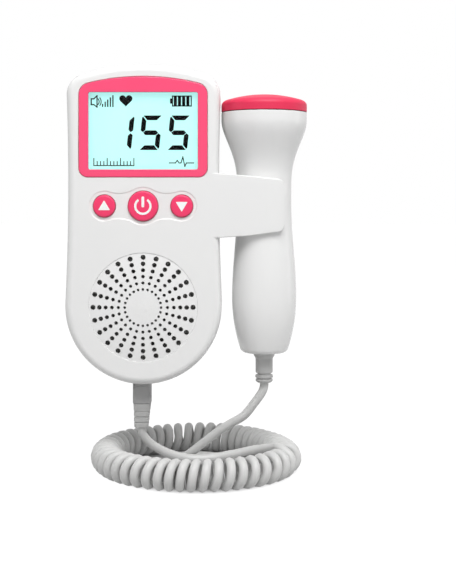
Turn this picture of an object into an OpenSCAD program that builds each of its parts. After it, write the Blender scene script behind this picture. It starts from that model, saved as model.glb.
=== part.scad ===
// Handheld fetal doppler: a monitor with a display and a speaker, and a probe clipped at its side.
// X runs to the right, Y to the rear, Z up. The origin is the middle of the flat rear face.

/* [Housing] */
// Height of the monitor
body_h = 136.2; // [130:1:145]
// Depth of the monitor, front face to rear face
body_d = 33.5; // [33:0.5:38]
// Radius of the round speaker end
bulb_r = 33.35; // [32:0.05:35]
// Half the width across the display end
top_half_w = 32.75; // [31.8:0.05:35]
// Radius of the top corners
corner_r = 9; // [8:0.5:11]
// Radius of the arched top edge
arch_r = 85.4; // [75:1:110]
// Radius of the hollow in each long side
side_r = 1043; // [700:10:1400]
// Wall thickness of the covers
wall = 2; // [1.6:0.1:2.2]
// Rounding of the front edge
front_round = 3.2; // [2.8:0.1:4]
// Rounding of the rear edge
rear_round = 7; // [5:0.5:8]
// Depth of the front cover, front face to seam
front_cover_d = 18.5; // [18:0.5:19.5]
// Depth of the shadow gap round the seam
seam_gap = 0.4; // [0.2:0.1:0.6]

/* [Display] */
// Width of the coloured bezel
bezel_w = 54.5; // [53.5:0.1:56]
// Height of the bezel in its middle, as a share of the monitor's height
bezel_share = 0.313; // [0.305:0.001:0.325]
// Width of the margin between the bezel and the top edge
bezel_margin = 5.45; // [4.4:0.05:6]
// Radius of the bezel's arched top edge
bezel_arch_r = 99; // [85:1:115]
// Thickness of the bezel
bezel_t = 1.5; // [1.4:0.1:1.8]
// How far the bezel stands proud of the front face
bezel_proud = 0.3; // [0.1:0.1:0.5]
// Width of the display window
window_w = 46.4; // [44:0.1:47]
// Margin between the bezel's lower edge and the display window
window_low_margin = 3.25; // [3:0.05:4]
// Margin between the display window and the bezel's upper edge
window_top_margin = 6.6; // [6:0.1:8]
// Thickness of the display lens
lens_t = 1; // [0.8:0.1:1.2]
// Thickness of the liquid crystal panel
lcd_t = 2; // [1.6:0.1:2.4]

/* [Buttons] */
// Radius of the power button
power_r = 6.35; // [5.5:0.05:6.6]
// Radius of each volume button
volume_r = 4.7; // [4.4:0.1:5.1]
// Distance from the power button to each volume button
button_pitch = 16.4; // [16:0.1:17]
// Distance from the bezel down to the button row, as a share of the monitor's height
button_share = 0.09; // [0.087:0.001:0.095]
// Travel of a button
button_travel = 0.5; // [0.3:0.05:0.6]
// How far a button stands proud of the front face
button_proud = 0.8; // [0.5:0.1:1.2]

/* [Speaker] */
// Radius of the round grille
grille_r = 23.1; // [22.8:0.1:24]
// Rows of holes round the grille
grille_rows = 24; // [18:1:26]
// Holes in each row
grille_holes = 6; // [4:1:6]
// Distance of the innermost hole from the middle
first_hole_at = 7.7; // [7:0.1:8.5]
// Distance from one hole of a row to the next
hole_step = 2.7; // [2.2:0.05:2.7]
// Radius of the innermost hole
first_hole_r = 0.57; // [0.5:0.01:0.65]
// Growth of the hole radius from one hole to the next
hole_growth = 0.105; // [0.05:0.005:0.11]
// Rise of the grille's dome from its rim to its middle
dome_rise = 1.3; // [0.8:0.1:1.5]

/* [Probe] */
// Radius of the probe's head
head_r = 18.6; // [17:0.1:19]
// Radius of the probe's waist, where the holder grips it
waist_r = 11.85; // [11.5:0.05:12.2]
// Radius of the probe's grip at its widest
bulge_r = 14; // [13:0.1:15]
// Radius of the probe's lower end
foot_r = 9.9; // [9:0.1:11]
// Height of the flare above the waist
flare_h = 35.5; // [34:0.5:40]
// Height of the head's straight side above the flare
head_side_h = 3.5; // [2:0.1:5]
// Distance from the waist down to the widest part of the grip
bulge_drop = 41.4; // [36:0.2:46]
// Distance from the waist down to the lower end
grip_len = 65.2; // [62:0.1:70]
// Height of the coloured cap
cap_h = 7.6; // [7:0.1:9]
// Wall thickness of the probe
probe_wall = 1.8; // [1.5:0.1:2]

/* [Holder] */
// Distance from the monitor's top edge down to the waist
waist_drop = 58.8; // [55:0.1:62]
// Height of the holder arm beside the monitor
arm_h = 27.8; // [26:0.1:30]
// Height of the holder arm at its free end
arm_end_h = 22.7; // [20:0.1:24]
// Wall thickness of the holder
holder_wall = 2.25; // [2:0.05:2.6]
// Gap between the probe's waist and the holder
clip_gap = 0.3; // [0.25:0.05:0.4]
// Gap between the probe's head and the monitor's side
head_gap = 0.4; // [0.4:0.1:3]
// Angle that the front jaw reaches past the probe's axis
jaw_angle = 36; // [25:1:40]

/* [Battery bay] */
// Length of one cell
cell_len = 50.5; // [48:0.1:51]
// Radius of one cell
cell_r = 7.05; // [6.8:0.05:7.2]
// Thickness of the battery door
door_t = 1.6; // [1.4:0.1:1.8]
// Angle to which the door swings open
door_swing = 75; // [60:5:90]

/* [Cord] */
// Diameter of the cord
cord_d = 3.8; // [3.4:0.1:4.2]
// Radius of the ring that the curly cord lies in
ring_r = 40.75; // [36:0.05:44]
// Outer radius of the curly cord's turns
curl_r = 6.7; // [6:0.1:8]
// Radius of the headphone jack's bore
jack_r = 1.8; // [1.7:0.05:1.9]

/* [Hidden] */
$fn = 64;
fit = 0.15;

// Front face, seam and the outline's centres
face_y = -body_d;
seam_y = face_y + front_cover_d;
inner_y = face_y + wall;
top_z = body_h / 2;
bulb_z = bulb_r - body_h / 2;
corner_x = top_half_w - corner_r;
arch_z = top_z - arch_r;
corner_z = arch_z + sqrt(pow(arch_r - corner_r, 2) - pow(corner_x, 2));
bulb_c = [0, bulb_z];
corner_c = [corner_x, corner_z];
arch_c = [0, arch_z];
side_c = outside_circle(bulb_c, bulb_r, corner_c, corner_r, side_r);
bulb_end = heading(side_c - bulb_c);
corner_start = heading(side_c - corner_c);
corner_end = heading(corner_c - arch_c);

// Display
bezel_h = body_h * bezel_share;
window_h = bezel_h - window_low_margin - window_top_margin;
bezel_top = top_z - bezel_margin;
bezel_low = bezel_top - bezel_h;
bezel_c = [0, bezel_top - bezel_arch_r];
bezel_back = face_y - bezel_proud + bezel_t;
window_z = bezel_low + window_low_margin + window_h / 2;
lens_rim = 1;
lens_w = window_w + 2 * lens_rim;
lens_h = window_h + 2 * lens_rim;
lens_back = bezel_back + lens_t;
gasket_t = 0.6;
lcd_w = lens_w + 3.4;
lcd_h = lens_h + 2.4;
lcd_front = inner_y + gasket_t;
lcd_back = lcd_front + lcd_t;
backlight_t = 3.4;
board_y = lcd_back + backlight_t;
board_t = 1.6;
board_back = board_y + board_t;
board_half_w = lcd_w / 2 + 1.9;
board_top = window_z + lcd_h / 2 + 0.5;
holder_t = 1.2;

// Buttons: [distance from the middle, radius]
button_z = bezel_low - body_h * button_share;
buttons = [[-button_pitch, volume_r], [0, power_r], [button_pitch, volume_r]];
button_gap = 0.25;
flange_r = 1.2;
flange_t = 0.8;
flange_front = inner_y + 0.2;
switch_front = flange_front + flange_t + button_travel + 0.05;
groove_margin = 1.65;
groove_w = 0.7;
groove_d = 0.4;
board_low = button_z - 9;
post_r = 2.2;
post_x = board_half_w - 2.9;
posts = [for (x = [-post_x, post_x]) for (z = [button_z - 6, button_z + 7]) [x, z]];

// Speaker
grille_z = bulb_z - 0.45;
grille_y = face_y + 0.25;
grille_flange_r = grille_r + 1.6;
grille_back = inner_y + 1.2;
speaker_r = grille_r - 2.5;
gasket_back = grille_back + 0.8;
magnet_r = 9;
basket_d = 7;
magnet_t = 3.6;
frame_back = gasket_back + basket_d;
magnet_back = frame_back + magnet_t;

// Probe and holder
waist_z = top_z - waist_drop;
probe_x = top_half_w + head_gap + head_r;
probe_y = face_y + holder_wall + clip_gap + waist_r;
cradle_r = waist_r + clip_gap + holder_wall;
flare_low = 5.4;
shell_top = waist_z + flare_h + head_side_h;
seal_t = 0.3;
cap_low = shell_top + seal_t;
foot_z = waist_z - grip_len;
dome_r = 55;
crystal_t = 1.6;
backing_t = 4;
crystal_low = cap_low + cap_h - 5.3 - crystal_t;
cap_side_h = 3.4;
seat_depth = 2.4;

// Battery bay
bay_half_w = 2 * cell_r + 1.3;
bay_half_h = cell_len / 2 + 3.75;
bay_wall = 1.2;
cell_y = -door_t - 0.9 - cell_r;
bay_floor = cell_y - cell_r - 0.3;
door_half_w = bay_half_w + bay_wall + 0.6;
door_top = bay_half_h + bay_wall + 1;
door_gap = 0.2;
hinge_y = -door_t / 2;
hinge_z = -door_top;

// Screws
screw_reach = bulb_r - wall - 2.6;
screws = [for (s = [-1, 1]) each [
  [s * (top_half_w - wall - 3.2), top_z - 17.5],
  [s * screw_reach * cos(42), bulb_z - screw_reach * sin(42)]
]];
screw_r = 1.3;
screw_head_r = 2.6;
screw_boss_r = 3.6;
screw_recess = 3;
screw_front = board_back + 0.5;
screw_tip = seam_y - 6.5;

// Sockets and cord
plug_x = -1.15;
plug_y = face_y + 12;
plug_w = 7.9;
plug_d = 6.8;
plug_len = 21;
plug_low = -body_h / 2 - 9.55;
boot_len = 10.3;
boot_low = plug_low - boot_len;
plug_gap = 0.2;
socket_low = -body_h / 2 + 2.75;
socket_h = 11;
socket_wall = 1.2;
jack_z = top_z - 37;
jack_y = board_back + 3.1;
relief_r = 3.75;
relief_low = foot_z - 13.2;
ring_c = [23.8, -16.2, -101.3];
ring_start = -11;
ring_end = 334;

// Centre lines of the two straight ends of the cord, by hand
monitor_lead_points = [
  [-1.15, -21.5, -88.05], [-1.15, -21.5, -89.2], [-1.2, -21.4, -90.4], [-0.6, -21, -92], [1.2, -20, -94.6],
  [4, -19, -97], [7.5, -18, -99.2], [11.3, -17, -100.9], [15.1, -16, -102], [19.9, -15, -102.7],
  [25.9, -14.5, -102.4], [32.1, -14.2, -101.4], [36.4, -14.5, -100.5], [40.8, -15, -99.6], [45.6, -16, -98.7],
  [50.4, -18, -97.7], [54.2, -21.5, -96.7], [57.1, -26, -96], [59.5, -29.8, -95.9], [60.5, -31.8, -96.1]
];
probe_lead_points = [
  [51.75, -19.1, -69.2], [51.75, -19.1, -70.2], [51.6, -19.1, -71.3], [50.9, -19.1, -73.1],
  [49.3, -19, -75.7], [46.7, -18.7, -78.8], [43.2, -18.2, -81.9], [38.8, -17.5, -85.3], [33.9, -16.5, -88.4],
  [29.1, -15.5, -92.1], [24.2, -14, -96.4], [20.2, -11.9, -100.1], [17, -9.6, -103.2], [14.2, -6.6, -105.6],
  [12.6, -2.6, -106.1], [14.4, 1.5, -106.1], [18.8, 3.2, -106.1], [25, 2.8, -106.1], [31, 0.8, -106.1],
  [37, -2.6, -106.1], [42.5, -7.8, -106.1], [47.5, -13.8, -106.1], [52.3, -19.8, -106.1],
  [56.6, -24.2, -106.1], [60.4, -25.8, -106.1]
];

// Direction of a vector, in degrees
function heading(v) = atan2(v[1], v[0]);

// Centre of the circle of radius r that touches circles (p, p_r) and (q, q_r) from outside, right of p to q
function outside_circle(p, p_r, q, q_r, r) =
  let (
    d = norm(q - p),
    along = ((p_r + r) ^ 2 - (q_r + r) ^ 2 + d * d) / (2 * d),
    across = sqrt((p_r + r) ^ 2 - along ^ 2),
    u = (q - p) / d
  )
  p + u * along + [u[1], -u[0]] * across;

// Points of an arc
function arc(c, r, from, to, steps) =
  [for (k = [0:steps]) let (a = from + (to - from) * k / steps) c + r * [cos(a), sin(a)]];

// The same points on the other side of the middle, in the opposite order
function mirrored(points) = [for (k = [len(points) - 1:-1:0]) [-points[k][0], points[k][1]]];

// The right half of the housing's outline, moved inwards, from the bottom up
function half_outline(inset) = concat(
  arc(bulb_c, bulb_r - inset, -90 + 90 / 18, bulb_end, 18),
  arc(side_c, side_r + inset, 180 + bulb_end, 180 + corner_start, 5),
  arc(corner_c, corner_r - inset, corner_start, corner_end, 8),
  [for (p = arc(arch_c, arch_r - inset, corner_end, 90, 5)) if (p[0] > 0.001) p]
);

// The whole outline
function outline(inset) =
  let (right = half_outline(inset))
  concat([[0, bulb_z - bulb_r + inset]], right, [[0, top_z - inset]], mirrored(right));

// Rounded rectangle about the middle
function rounded_box(w, h, r) = concat(
  arc([w / 2 - r, h / 2 - r], r, 0, 90, 6),
  arc([r - w / 2, h / 2 - r], r, 90, 180, 6),
  arc([r - w / 2, r - h / 2], r, 180, 270, 6),
  arc([w / 2 - r, r - h / 2], r, 270, 360, 6)
);

// Outline of the bezel, grown by a margin
function bezel_outline(grow) =
  let (
    half_w = bezel_w / 2 + grow,
    low = bezel_low - grow,
    low_r = 3.8 + grow,
    top_r = 5 + grow,
    arch = bezel_arch_r + grow,
    c = [half_w - top_r, bezel_c[1] + sqrt(pow(arch - top_r, 2) - pow(half_w - top_r, 2))],
    right = concat(
      arc([half_w - low_r, low + low_r], low_r, -90, 0, 8),
      arc(c, top_r, 0, heading(c - bezel_c), 8),
      [for (p = arc(bezel_c, arch, heading(c - bezel_c), 90, 6)) if (p[0] > 0.001) p]
    )
  )
  concat(right, mirrored(right));

// Outline round the three buttons, as one smooth line at a distance from their edges
function button_outline(grow) =
  let (
    big = power_r + grow,
    small = volume_r + grow,
    blend = 5,
    c = outside_circle([0, 0], big, [button_pitch, 0], small, blend),
    right = concat(
      [for (p = arc([0, 0], big, -90, heading(c), 4)) if (p[0] > 0.001) p],
      arc(c, blend, 180 + heading(c), heading([button_pitch, 0] - c), 6),
      arc([button_pitch, 0], small, heading(c - [button_pitch, 0]), 0, 8)
    ),
    upper = [for (k = [len(right) - 2:-1:0]) [right[k][0], -right[k][1]]],
    whole = concat(right, upper)
  )
  concat(whole, [[0, big]], mirrored(whole), [[0, -big]]);

// Depths and insets of a cover from its face to its seam, round its edge
function cover_levels(face, way, round, inset, steps, seam) =
  let (r = max(round - inset, 0.8))
  concat(
    [for (k = [0:steps]) let (a = 90 * k / steps)
      [face + way * (inset + r * (1 - cos(a))), inset + r * (1 - sin(a))]],
    [[seam, inset]]
  );

// Levels in the opposite order
function reversed(list) = [for (k = [len(list) - 1:-1:0]) list[k]];

// A closed solid through the outlines at [depth, inset] levels, front to rear
module loft(levels) {
  n = len(outline(0));
  last = len(levels) - 1;
  polyhedron(
    points = [for (level = levels) for (p = outline(level[1])) [p[0], level[0], p[1]]],
    faces = concat(
      [[for (i = [n - 1:-1:0]) i]],
      [[for (i = [0:n - 1]) last * n + i]],
      [for (k = [0:last - 1]) for (i = [0:n - 1]) let (j = (i + 1) % n)
        [k * n + i, k * n + j, (k + 1) * n + j, (k + 1) * n + i]]
    )
  );
}

// A flat shape in X and Z, extruded from one depth to another
module between(front, back) {
  translate([0, back, 0]) rotate([90, 0, 0]) linear_extrude(back - front) children();
}

// A round bar or hole along Y
module round_y(x, z, r, front, back) {
  translate([x, back, z]) rotate([90, 0, 0]) cylinder(r = r, h = back - front);
}

// A box from its low corner to its high corner
module block(low, high) {
  translate(low) cube(high - low);
}

// Radius of the probe's body at a height
function smooth(t) = t * t * (3 - 2 * t);
function probe_r(z) =
  let (h = z - waist_z)
  h > flare_h ? head_r :
  h > flare_low ? waist_r + (head_r - waist_r) * smooth(pow((h - flare_low) / (flare_h - flare_low), 1.5)) :
  h > 0 ? waist_r :
  h > -bulge_drop ? waist_r + (bulge_r - waist_r) * (1 - cos(180 * h / bulge_drop)) / 2 :
  bulge_r - (bulge_r - foot_r) * pow((-h - bulge_drop) / (grip_len - bulge_drop), 2);

// Profile of the probe's body between two heights, moved outwards
function probe_profile(low, high, steps, grow) =
  [for (k = [0:steps]) let (z = low + (high - low) * k / steps) [probe_r(z) + grow, z]];

// A round tube swept along points; its rings stand square to the line
function unit(v) = v / norm(v);
function line_dir(p, i) = unit(p[min(i + 1, len(p) - 1)] - p[max(i - 1, 0)]);
function squared(v, t) = unit(v - (v * t) * t);
function carried(p, list) =
  len(list) == len(p) ? list :
  carried(p, concat(list, [squared(list[len(list) - 1], line_dir(p, len(list)))]));
module sweep(p, r, sides) {
  n = len(p);
  normals = carried(p, [squared([0.3, 0.9, 0.4], line_dir(p, 0))]);
  points = [
    for (i = [0:n - 1])
      let (u = normals[i], v = cross(line_dir(p, i), u))
      for (k = [0:sides - 1]) let (a = 360 * k / sides) p[i] + r * (cos(a) * u + sin(a) * v)
  ];
  polyhedron(
    points = points,
    faces = concat(
      [[for (k = [sides - 1:-1:0]) k]],
      [[for (k = [0:sides - 1]) (n - 1) * sides + k]],
      [for (i = [0:n - 2]) for (k = [0:sides - 1])
        let (a = i * sides + k, b = i * sides + (k + 1) % sides)
          for (face = [[a, b, b + sides], [a, b + sides, a + sides]]) face]
    )
  );
}

// Points between the hand-placed ones, on a smooth curve through them
function curve_point(p, i, t) =
  let (
    a = p[max(i - 1, 0)], b = p[i], c = p[i + 1], d = p[min(i + 2, len(p) - 1)]
  )
  0.5 * (2 * b + (c - a) * t + (2 * a - 5 * b + 4 * c - d) * t * t + (3 * b - a - 3 * c + d) * t * t * t);
function smoothed(p) = concat(
  [for (i = [0:len(p) - 2]) for (t = [0, 0.5]) curve_point(p, i, t)],
  [p[len(p) - 1]]
);

// ---- Monitor housing ----

// Front and side of the holder arm, seen from the front
function arm_outline() =
  let (
    start_x = top_half_w - front_round - 1,
    end_x = probe_x + cradle_r * sin(jaw_angle) - 0.3,
    mid = waist_z - 1.3,
    r = 2.8
  )
  [
    [start_x, mid - arm_h / 2],
    [(start_x + end_x) / 2, mid - arm_h / 2 + 0.9],
    [end_x - 4, mid - arm_end_h / 2 - 0.1],
    each arc([end_x - r, mid - arm_end_h / 2 + r], r, -80, 0, 5),
    each arc([end_x - r, mid + arm_end_h / 2 - r], r, 0, 80, 5),
    [end_x - 4, mid + arm_end_h / 2 + 0.1],
    [(start_x + end_x) / 2, mid + arm_h / 2 - 1.2],
    [start_x, mid + arm_h / 2]
  ];

// Space that the probe needs in its holder
module probe_space() {
  low = waist_z - arm_h;
  high = waist_z + arm_h;
  translate([probe_x, probe_y, 0]) rotate_extrude()
    polygon([[0, low], each probe_profile(low, high, 16, clip_gap), [0, high]]);
}

// The arm's flat plate, its curved jaws and the two ribs behind it
module holder_arm() {
  low = waist_z - arm_h / 2;
  difference() {
    union() {
      intersection() {
        between(face_y, face_y + holder_wall) polygon(arm_outline());
        block([0, face_y - 1, low - 10], [probe_x - 0.8, 0, low + arm_h + 10]);
      }
      intersection() {
        translate([probe_x, probe_y, low - 2]) rotate([0, 0, 90 + jaw_angle])
          rotate_extrude(angle = 180) translate([waist_r, 0])
            square([holder_wall + clip_gap, arm_h + 4]);
        between(face_y - 1, probe_y + cradle_r + 1) polygon(arm_outline());
      }
      for (z = [waist_z - 9.4, waist_z + 6])
        block([top_half_w - wall, face_y + 1, z], [probe_x - cradle_r + 1, probe_y + 2, z + 1.6]);
    }
    probe_space();
  }
}

module front_cover() color("whitesmoke") {
  difference() {
    union() {
      difference() {
        loft(cover_levels(face_y, 1, front_round, 0, 5, seam_y - seam_gap));
        loft(cover_levels(face_y, 1, front_round, wall, 3, seam_y + 1));
      }
      holder_arm();
      for (p = screws) round_y(p[0], p[1], screw_boss_r, screw_front, seam_y - 0.1);
      for (p = posts) round_y(p[0], p[1], post_r, inner_y - 0.5, board_y);
      block([plug_x - plug_w / 2 - 2.2, plug_y - 5.6, -body_h / 2 + 0.9],
        [plug_x + plug_w / 2 + 2.2, plug_y + 4, socket_low]);
      difference() {
        round_y(0, grille_z, grille_flange_r + 1.3, inner_y - 0.5, gasket_back);
        round_y(0, grille_z, grille_flange_r + fit, inner_y, gasket_back + 1);
      }
    }
    // Pocket for the bezel and the opening behind it
    between(face_y - 1, bezel_back) polygon(bezel_outline(fit));
    between(face_y, inner_y + 1) translate([0, window_z])
      polygon(rounded_box(lens_w + 2 * fit, lens_h + 2 * fit, 1.5));
    // Buttons, and the groove round them
    for (b = buttons) round_y(b[0], button_z, b[1] + button_gap, face_y - 1, inner_y + 1);
    between(face_y - 1, face_y + groove_d) translate([0, button_z]) difference() {
      polygon(button_outline(groove_margin + groove_w / 2));
      polygon(button_outline(groove_margin - groove_w / 2));
    }
    // Grille
    round_y(0, grille_z, grille_r, face_y - 1, inner_y + 1);
    // Pilot holes for the screws
    for (p = screws) round_y(p[0], p[1], screw_r, screw_tip - 0.5, seam_y + 1);
    for (p = posts) round_y(p[0], p[1], 0.8, inner_y + 1, board_y + 1);
    // Ways in for the plug and for the headphones
    block([plug_x - plug_w / 2 - 0.3, plug_y - plug_d / 2 - 0.3, -body_h / 2 - 2],
      [plug_x + plug_w / 2 + 0.3, plug_y + plug_d / 2 + 0.3, socket_low + 1]);
    translate([-top_half_w - 2, jack_y, jack_z]) rotate([0, 90, 0]) cylinder(r = 3.2, h = 6);
  }
}

module rear_cover() color("whitesmoke") {
  lip = wall + 0.12;
  difference() {
    union() {
      difference() {
        union() {
          loft(reversed(cover_levels(0, -1, rear_round, 0, 6, seam_y)));
          difference() {
            between(seam_y - 1.6, seam_y + 1) polygon(outline(lip));
            for (p = screws) round_y(p[0], p[1], screw_boss_r + 0.3, seam_y - 2, seam_y);
          }
        }
        loft(reversed(cover_levels(0, -1, rear_round, wall, 4, seam_y + 0.8)));
        between(seam_y - 2, seam_y + 2) polygon(outline(lip + 1));
      }
      block([-bay_half_w - bay_wall, bay_floor - bay_wall, -bay_half_h - bay_wall],
        [bay_half_w + bay_wall, -wall + 0.5, bay_half_h + bay_wall]);
      for (p = screws) round_y(p[0], p[1], screw_boss_r, seam_y, -wall + 0.5);
    }
    block([-bay_half_w, bay_floor, -bay_half_h], [bay_half_w, 1, bay_half_h]);
    // Recess for the door, with a round groove at its hinge end
    block([-door_half_w - door_gap, -door_t - 0.1, hinge_z],
      [door_half_w + door_gap, 1, door_top + door_gap]);
    translate([-door_half_w - door_gap, hinge_y, hinge_z]) rotate([0, 90, 0])
      cylinder(r = door_t / 2 + 0.25, h = 2 * (door_half_w + door_gap));
    // Notch for a fingertip above the door
    translate([0, 3.6, door_top + 0.5]) sphere(r = 6);
    for (p = screws) {
      round_y(p[0], p[1], screw_r + 0.3, seam_y - 2, 1);
      round_y(p[0], p[1], screw_head_r + 0.4, -screw_recess, 1);
    }
  }
}

module battery_door() color("whitesmoke") {
  difference() {
    union() {
      block([-door_half_w, -door_t, hinge_z], [door_half_w, 0, door_top]);
      translate([-door_half_w, hinge_y, hinge_z]) rotate([0, 90, 0])
        cylinder(r = door_t / 2, h = 2 * door_half_w);
    }
    // Grip ridges
    for (k = [0:4])
      block([-8, -0.4, door_top - 5 - 2 * k], [8, 1, door_top - 4.2 - 2 * k]);
  }
}

// ---- Display ----

module display_bezel() color("hotpink") {
  between(face_y - bezel_proud, bezel_back) difference() {
    polygon(bezel_outline(0));
    translate([0, window_z]) polygon(rounded_box(window_w, window_h, 1.2));
  }
}

module display_lens() color("lightcyan") {
  between(bezel_back, lens_back) translate([0, window_z]) polygon(rounded_box(lens_w, lens_h, 1.4));
}

module display_gasket() color("dimgray") {
  between(inner_y, lcd_front) translate([0, window_z]) difference() {
    polygon(rounded_box(lcd_w, lcd_h, 1));
    polygon(rounded_box(lens_w + 0.6, lens_h + 0.6, 1.5));
  }
}

module lcd_panel() color("paleturquoise") {
  between(lcd_front, lcd_back) translate([0, window_z]) square([lcd_w, lcd_h], center = true);
}

module lcd_backlight() color("white") {
  between(lcd_back, board_y) translate([0, window_z]) square([lcd_w - 1, lcd_h - 1], center = true);
}

module lcd_holder() color("gainsboro") {
  between(lcd_front, board_y) translate([0, window_z]) difference() {
    square([lcd_w + 2 * holder_t + 0.2, lcd_h + 2 * holder_t + 0.2], center = true);
    square([lcd_w + 0.2, lcd_h + 0.2], center = true);
  }
}

module main_board() color("seagreen") {
  difference() {
    union() {
      between(board_y, board_back) translate([0, (board_top + board_low) / 2])
        polygon(rounded_box(2 * board_half_w, board_top - board_low, 4));
      block([-8, board_back, window_z - 7], [4, board_back + 1.6, window_z + 5]);
      block([8, board_back, window_z - 12], [14, board_back + 1.2, window_z - 6]);
    }
    for (p = posts) round_y(p[0], p[1], 1.1, board_y - 1, board_back + 1);
  }
}

module tact_switches() color("silver") {
  for (b = buttons) {
    block([b[0] - 3, board_y - 3.2, button_z - 3], [b[0] + 3, board_y, button_z + 3]);
    round_y(b[0], button_z, 1.7, switch_front, board_y - 3);
  }
}

module board_screws() color("silver") {
  for (p = posts) {
    round_y(p[0], p[1], 0.8, inner_y + 1.5, board_back + 0.1);
    round_y(p[0], p[1], 1.8, board_back, board_back + 1.2);
  }
}

// ---- Buttons ----

module press_button(x, r) {
  front = face_y - button_proud;
  edge = 0.5;
  translate([x, 0, button_z]) rotate([90, 0, 0]) rotate_extrude() difference() {
    polygon([
      [0, -flange_front - flange_t], [r + flange_r, -flange_front - flange_t],
      [r + flange_r, -flange_front], [r, -flange_front], [r, -front - edge],
      for (a = [0:15:90]) [r - edge + edge * cos(a), -front - edge + edge * sin(a)],
      [0, -front]
    ]);
  }
}

module power_button() color("deeppink") press_button(0, power_r);
module volume_up_button() color("deeppink") press_button(-button_pitch, volume_r);
module volume_down_button() color("deeppink") press_button(button_pitch, volume_r);

// ---- Speaker ----

// Domed plate with rows of holes that grow outwards, on a flange behind the wall
module speaker_grille() color("whitesmoke") {
  rim = grille_r - fit;
  dome_r = (rim * rim + dome_rise * dome_rise) / (2 * dome_rise);
  top = dome_rise - grille_y;
  difference() {
    translate([0, 0, grille_z]) rotate([90, 0, 0]) rotate_extrude($fn = 96) intersection() {
      polygon([
        [0, -inner_y], [grille_r - 0.6, -inner_y], [grille_r - 0.6, -grille_back],
        [grille_flange_r, -grille_back], [grille_flange_r, -inner_y], [rim, -inner_y], [rim, top], [0, top]
      ]);
      translate([0, top - dome_r]) circle(r = dome_r, $fn = 900);
    }
    for (row = [0:grille_rows - 1]) for (k = [0:grille_holes - 1])
      translate([0, 0, grille_z]) rotate([0, 360 * row / grille_rows, 0])
        round_y(first_hole_at + k * hole_step, 0, first_hole_r + k * hole_growth, face_y - 1, grille_back + 1);
  }
}

module speaker_gasket() color("dimgray") {
  difference() {
    round_y(0, grille_z, grille_flange_r, grille_back, gasket_back);
    round_y(0, grille_z, grille_r - 0.2, grille_back - 1, gasket_back + 1);
  }
}

// A solid of revolution about the speaker's axis, from [radius, depth] points
module speaker_turn(points) {
  translate([0, 0, grille_z]) rotate([90, 0, 0]) rotate_extrude() polygon([for (p = points) [p[0], -p[1]]]);
}

module speaker_frame() color("dimgray") {
  y = gasket_back;
  speaker_turn([
    [grille_flange_r, y], [grille_flange_r, y + 1], [speaker_r - 1, y + 1], [magnet_r + 2, frame_back - 0.8],
    [magnet_r + 2, frame_back], [6, frame_back], [6, frame_back - 1], [magnet_r + 1, frame_back - 1],
    [speaker_r - 2, y + 0.4], [speaker_r, y]
  ]);
}

module speaker_cone() color("black") {
  y = gasket_back;
  speaker_turn([
    [speaker_r, y], [speaker_r - 1, y - 0.5], [speaker_r - 2.4, y - 0.1], [6.5, y + 3.6], [5, y + 2.4],
    [2.5, y + 1.6], [0, y + 1.4], [0, y + 2], [2.4, y + 2.2], [4.6, y + 3], [6.4, y + 4.4],
    [speaker_r - 2, y + 0.4]
  ]);
}

module speaker_magnet() color("silver") {
  speaker_turn([[0, frame_back - 1.6], [5.8, frame_back - 1.6], [5.8, frame_back], [magnet_r, frame_back],
    [magnet_r, magnet_back], [0, magnet_back]]);
}

// ---- Battery bay ----

module batteries() color("steelblue") {
  for (s = [-1, 1]) translate([s * (cell_r + 0.4), cell_y, 0]) rotate([s > 0 ? 180 : 0, 0, 0]) {
    translate([0, 0, -cell_len / 2]) cylinder(r = cell_r, h = cell_len - 1.2);
    translate([0, 0, cell_len / 2 - 1.3]) cylinder(r = 2.7, h = 1.3);
  }
}

// Coil spring that narrows towards the cell
function spring_points(len, wide, narrow, coils) =
  [for (k = [0:12 * coils]) let (t = k / (12 * coils), r = wide + (narrow - wide) * t)
    [r * cos(30 * k), r * sin(30 * k), 0.3 + (len - 0.6) * t]];

module battery_springs() color("silver") {
  room = bay_half_h - 0.4 - cell_len / 2;
  for (s = [-1, 1]) translate([s * (cell_r + 0.4), cell_y, -s * (bay_half_h - 0.4)])
    rotate([s < 0 ? 180 : 0, 0, 0]) sweep(spring_points(room, 5, 3, 3), 0.3, 6);
}

module battery_contacts() color("silver") {
  for (s = [-1, 1]) {
    block([s * (cell_r + 0.4) - 6, cell_y - 5, -bay_half_h], [s * (cell_r + 0.4) + 6, cell_y + 5, -bay_half_h + 0.4]);
    block([s * (cell_r + 0.4) - 6, cell_y - 5, bay_half_h - 0.4], [s * (cell_r + 0.4) + 6, cell_y + 5, bay_half_h]);
  }
}

module case_screws() color("silver") {
  for (p = screws) difference() {
    union() {
      round_y(p[0], p[1], screw_r, screw_tip, -screw_recess);
      round_y(p[0], p[1], screw_head_r, -screw_recess, -screw_recess + 1.8);
    }
    for (a = [0, 90]) translate([p[0], -screw_recess + 1.4, p[1]]) rotate([0, a, 0])
      cube([2.8, 1, 0.6], center = true);
  }
}

// ---- Sockets ----

module headphone_jack() color("dimgray") {
  start = -top_half_w + 0.2;
  difference() {
    union() {
      translate([start, jack_y, jack_z]) rotate([0, 90, 0]) cylinder(r = 3, h = 5);
      block([start + 4, board_back, jack_z - 3.2], [start + 15.6, board_back + 6, jack_z + 3.2]);
    }
    translate([start - 1, jack_y, jack_z]) rotate([0, 90, 0]) cylinder(r = jack_r, h = 15);
  }
}

module probe_socket() color("dimgray") {
  w = plug_w / 2;
  d = plug_d / 2;
  rim = plug_gap + socket_wall;
  translate([plug_x, 0, 0]) difference() {
    block([-w - rim, plug_y - d - rim, socket_low], [w + rim, plug_y + d + rim, socket_low + socket_h]);
    block([-w - plug_gap, plug_y - d - plug_gap, socket_low - 1],
      [w + plug_gap, plug_y + d + plug_gap, plug_low + plug_len + plug_gap]);
  }
}

// ---- Probe ----

// Places a shape on the probe's axis
module on_probe() {
  translate([probe_x, probe_y, 0]) children();
}

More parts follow.
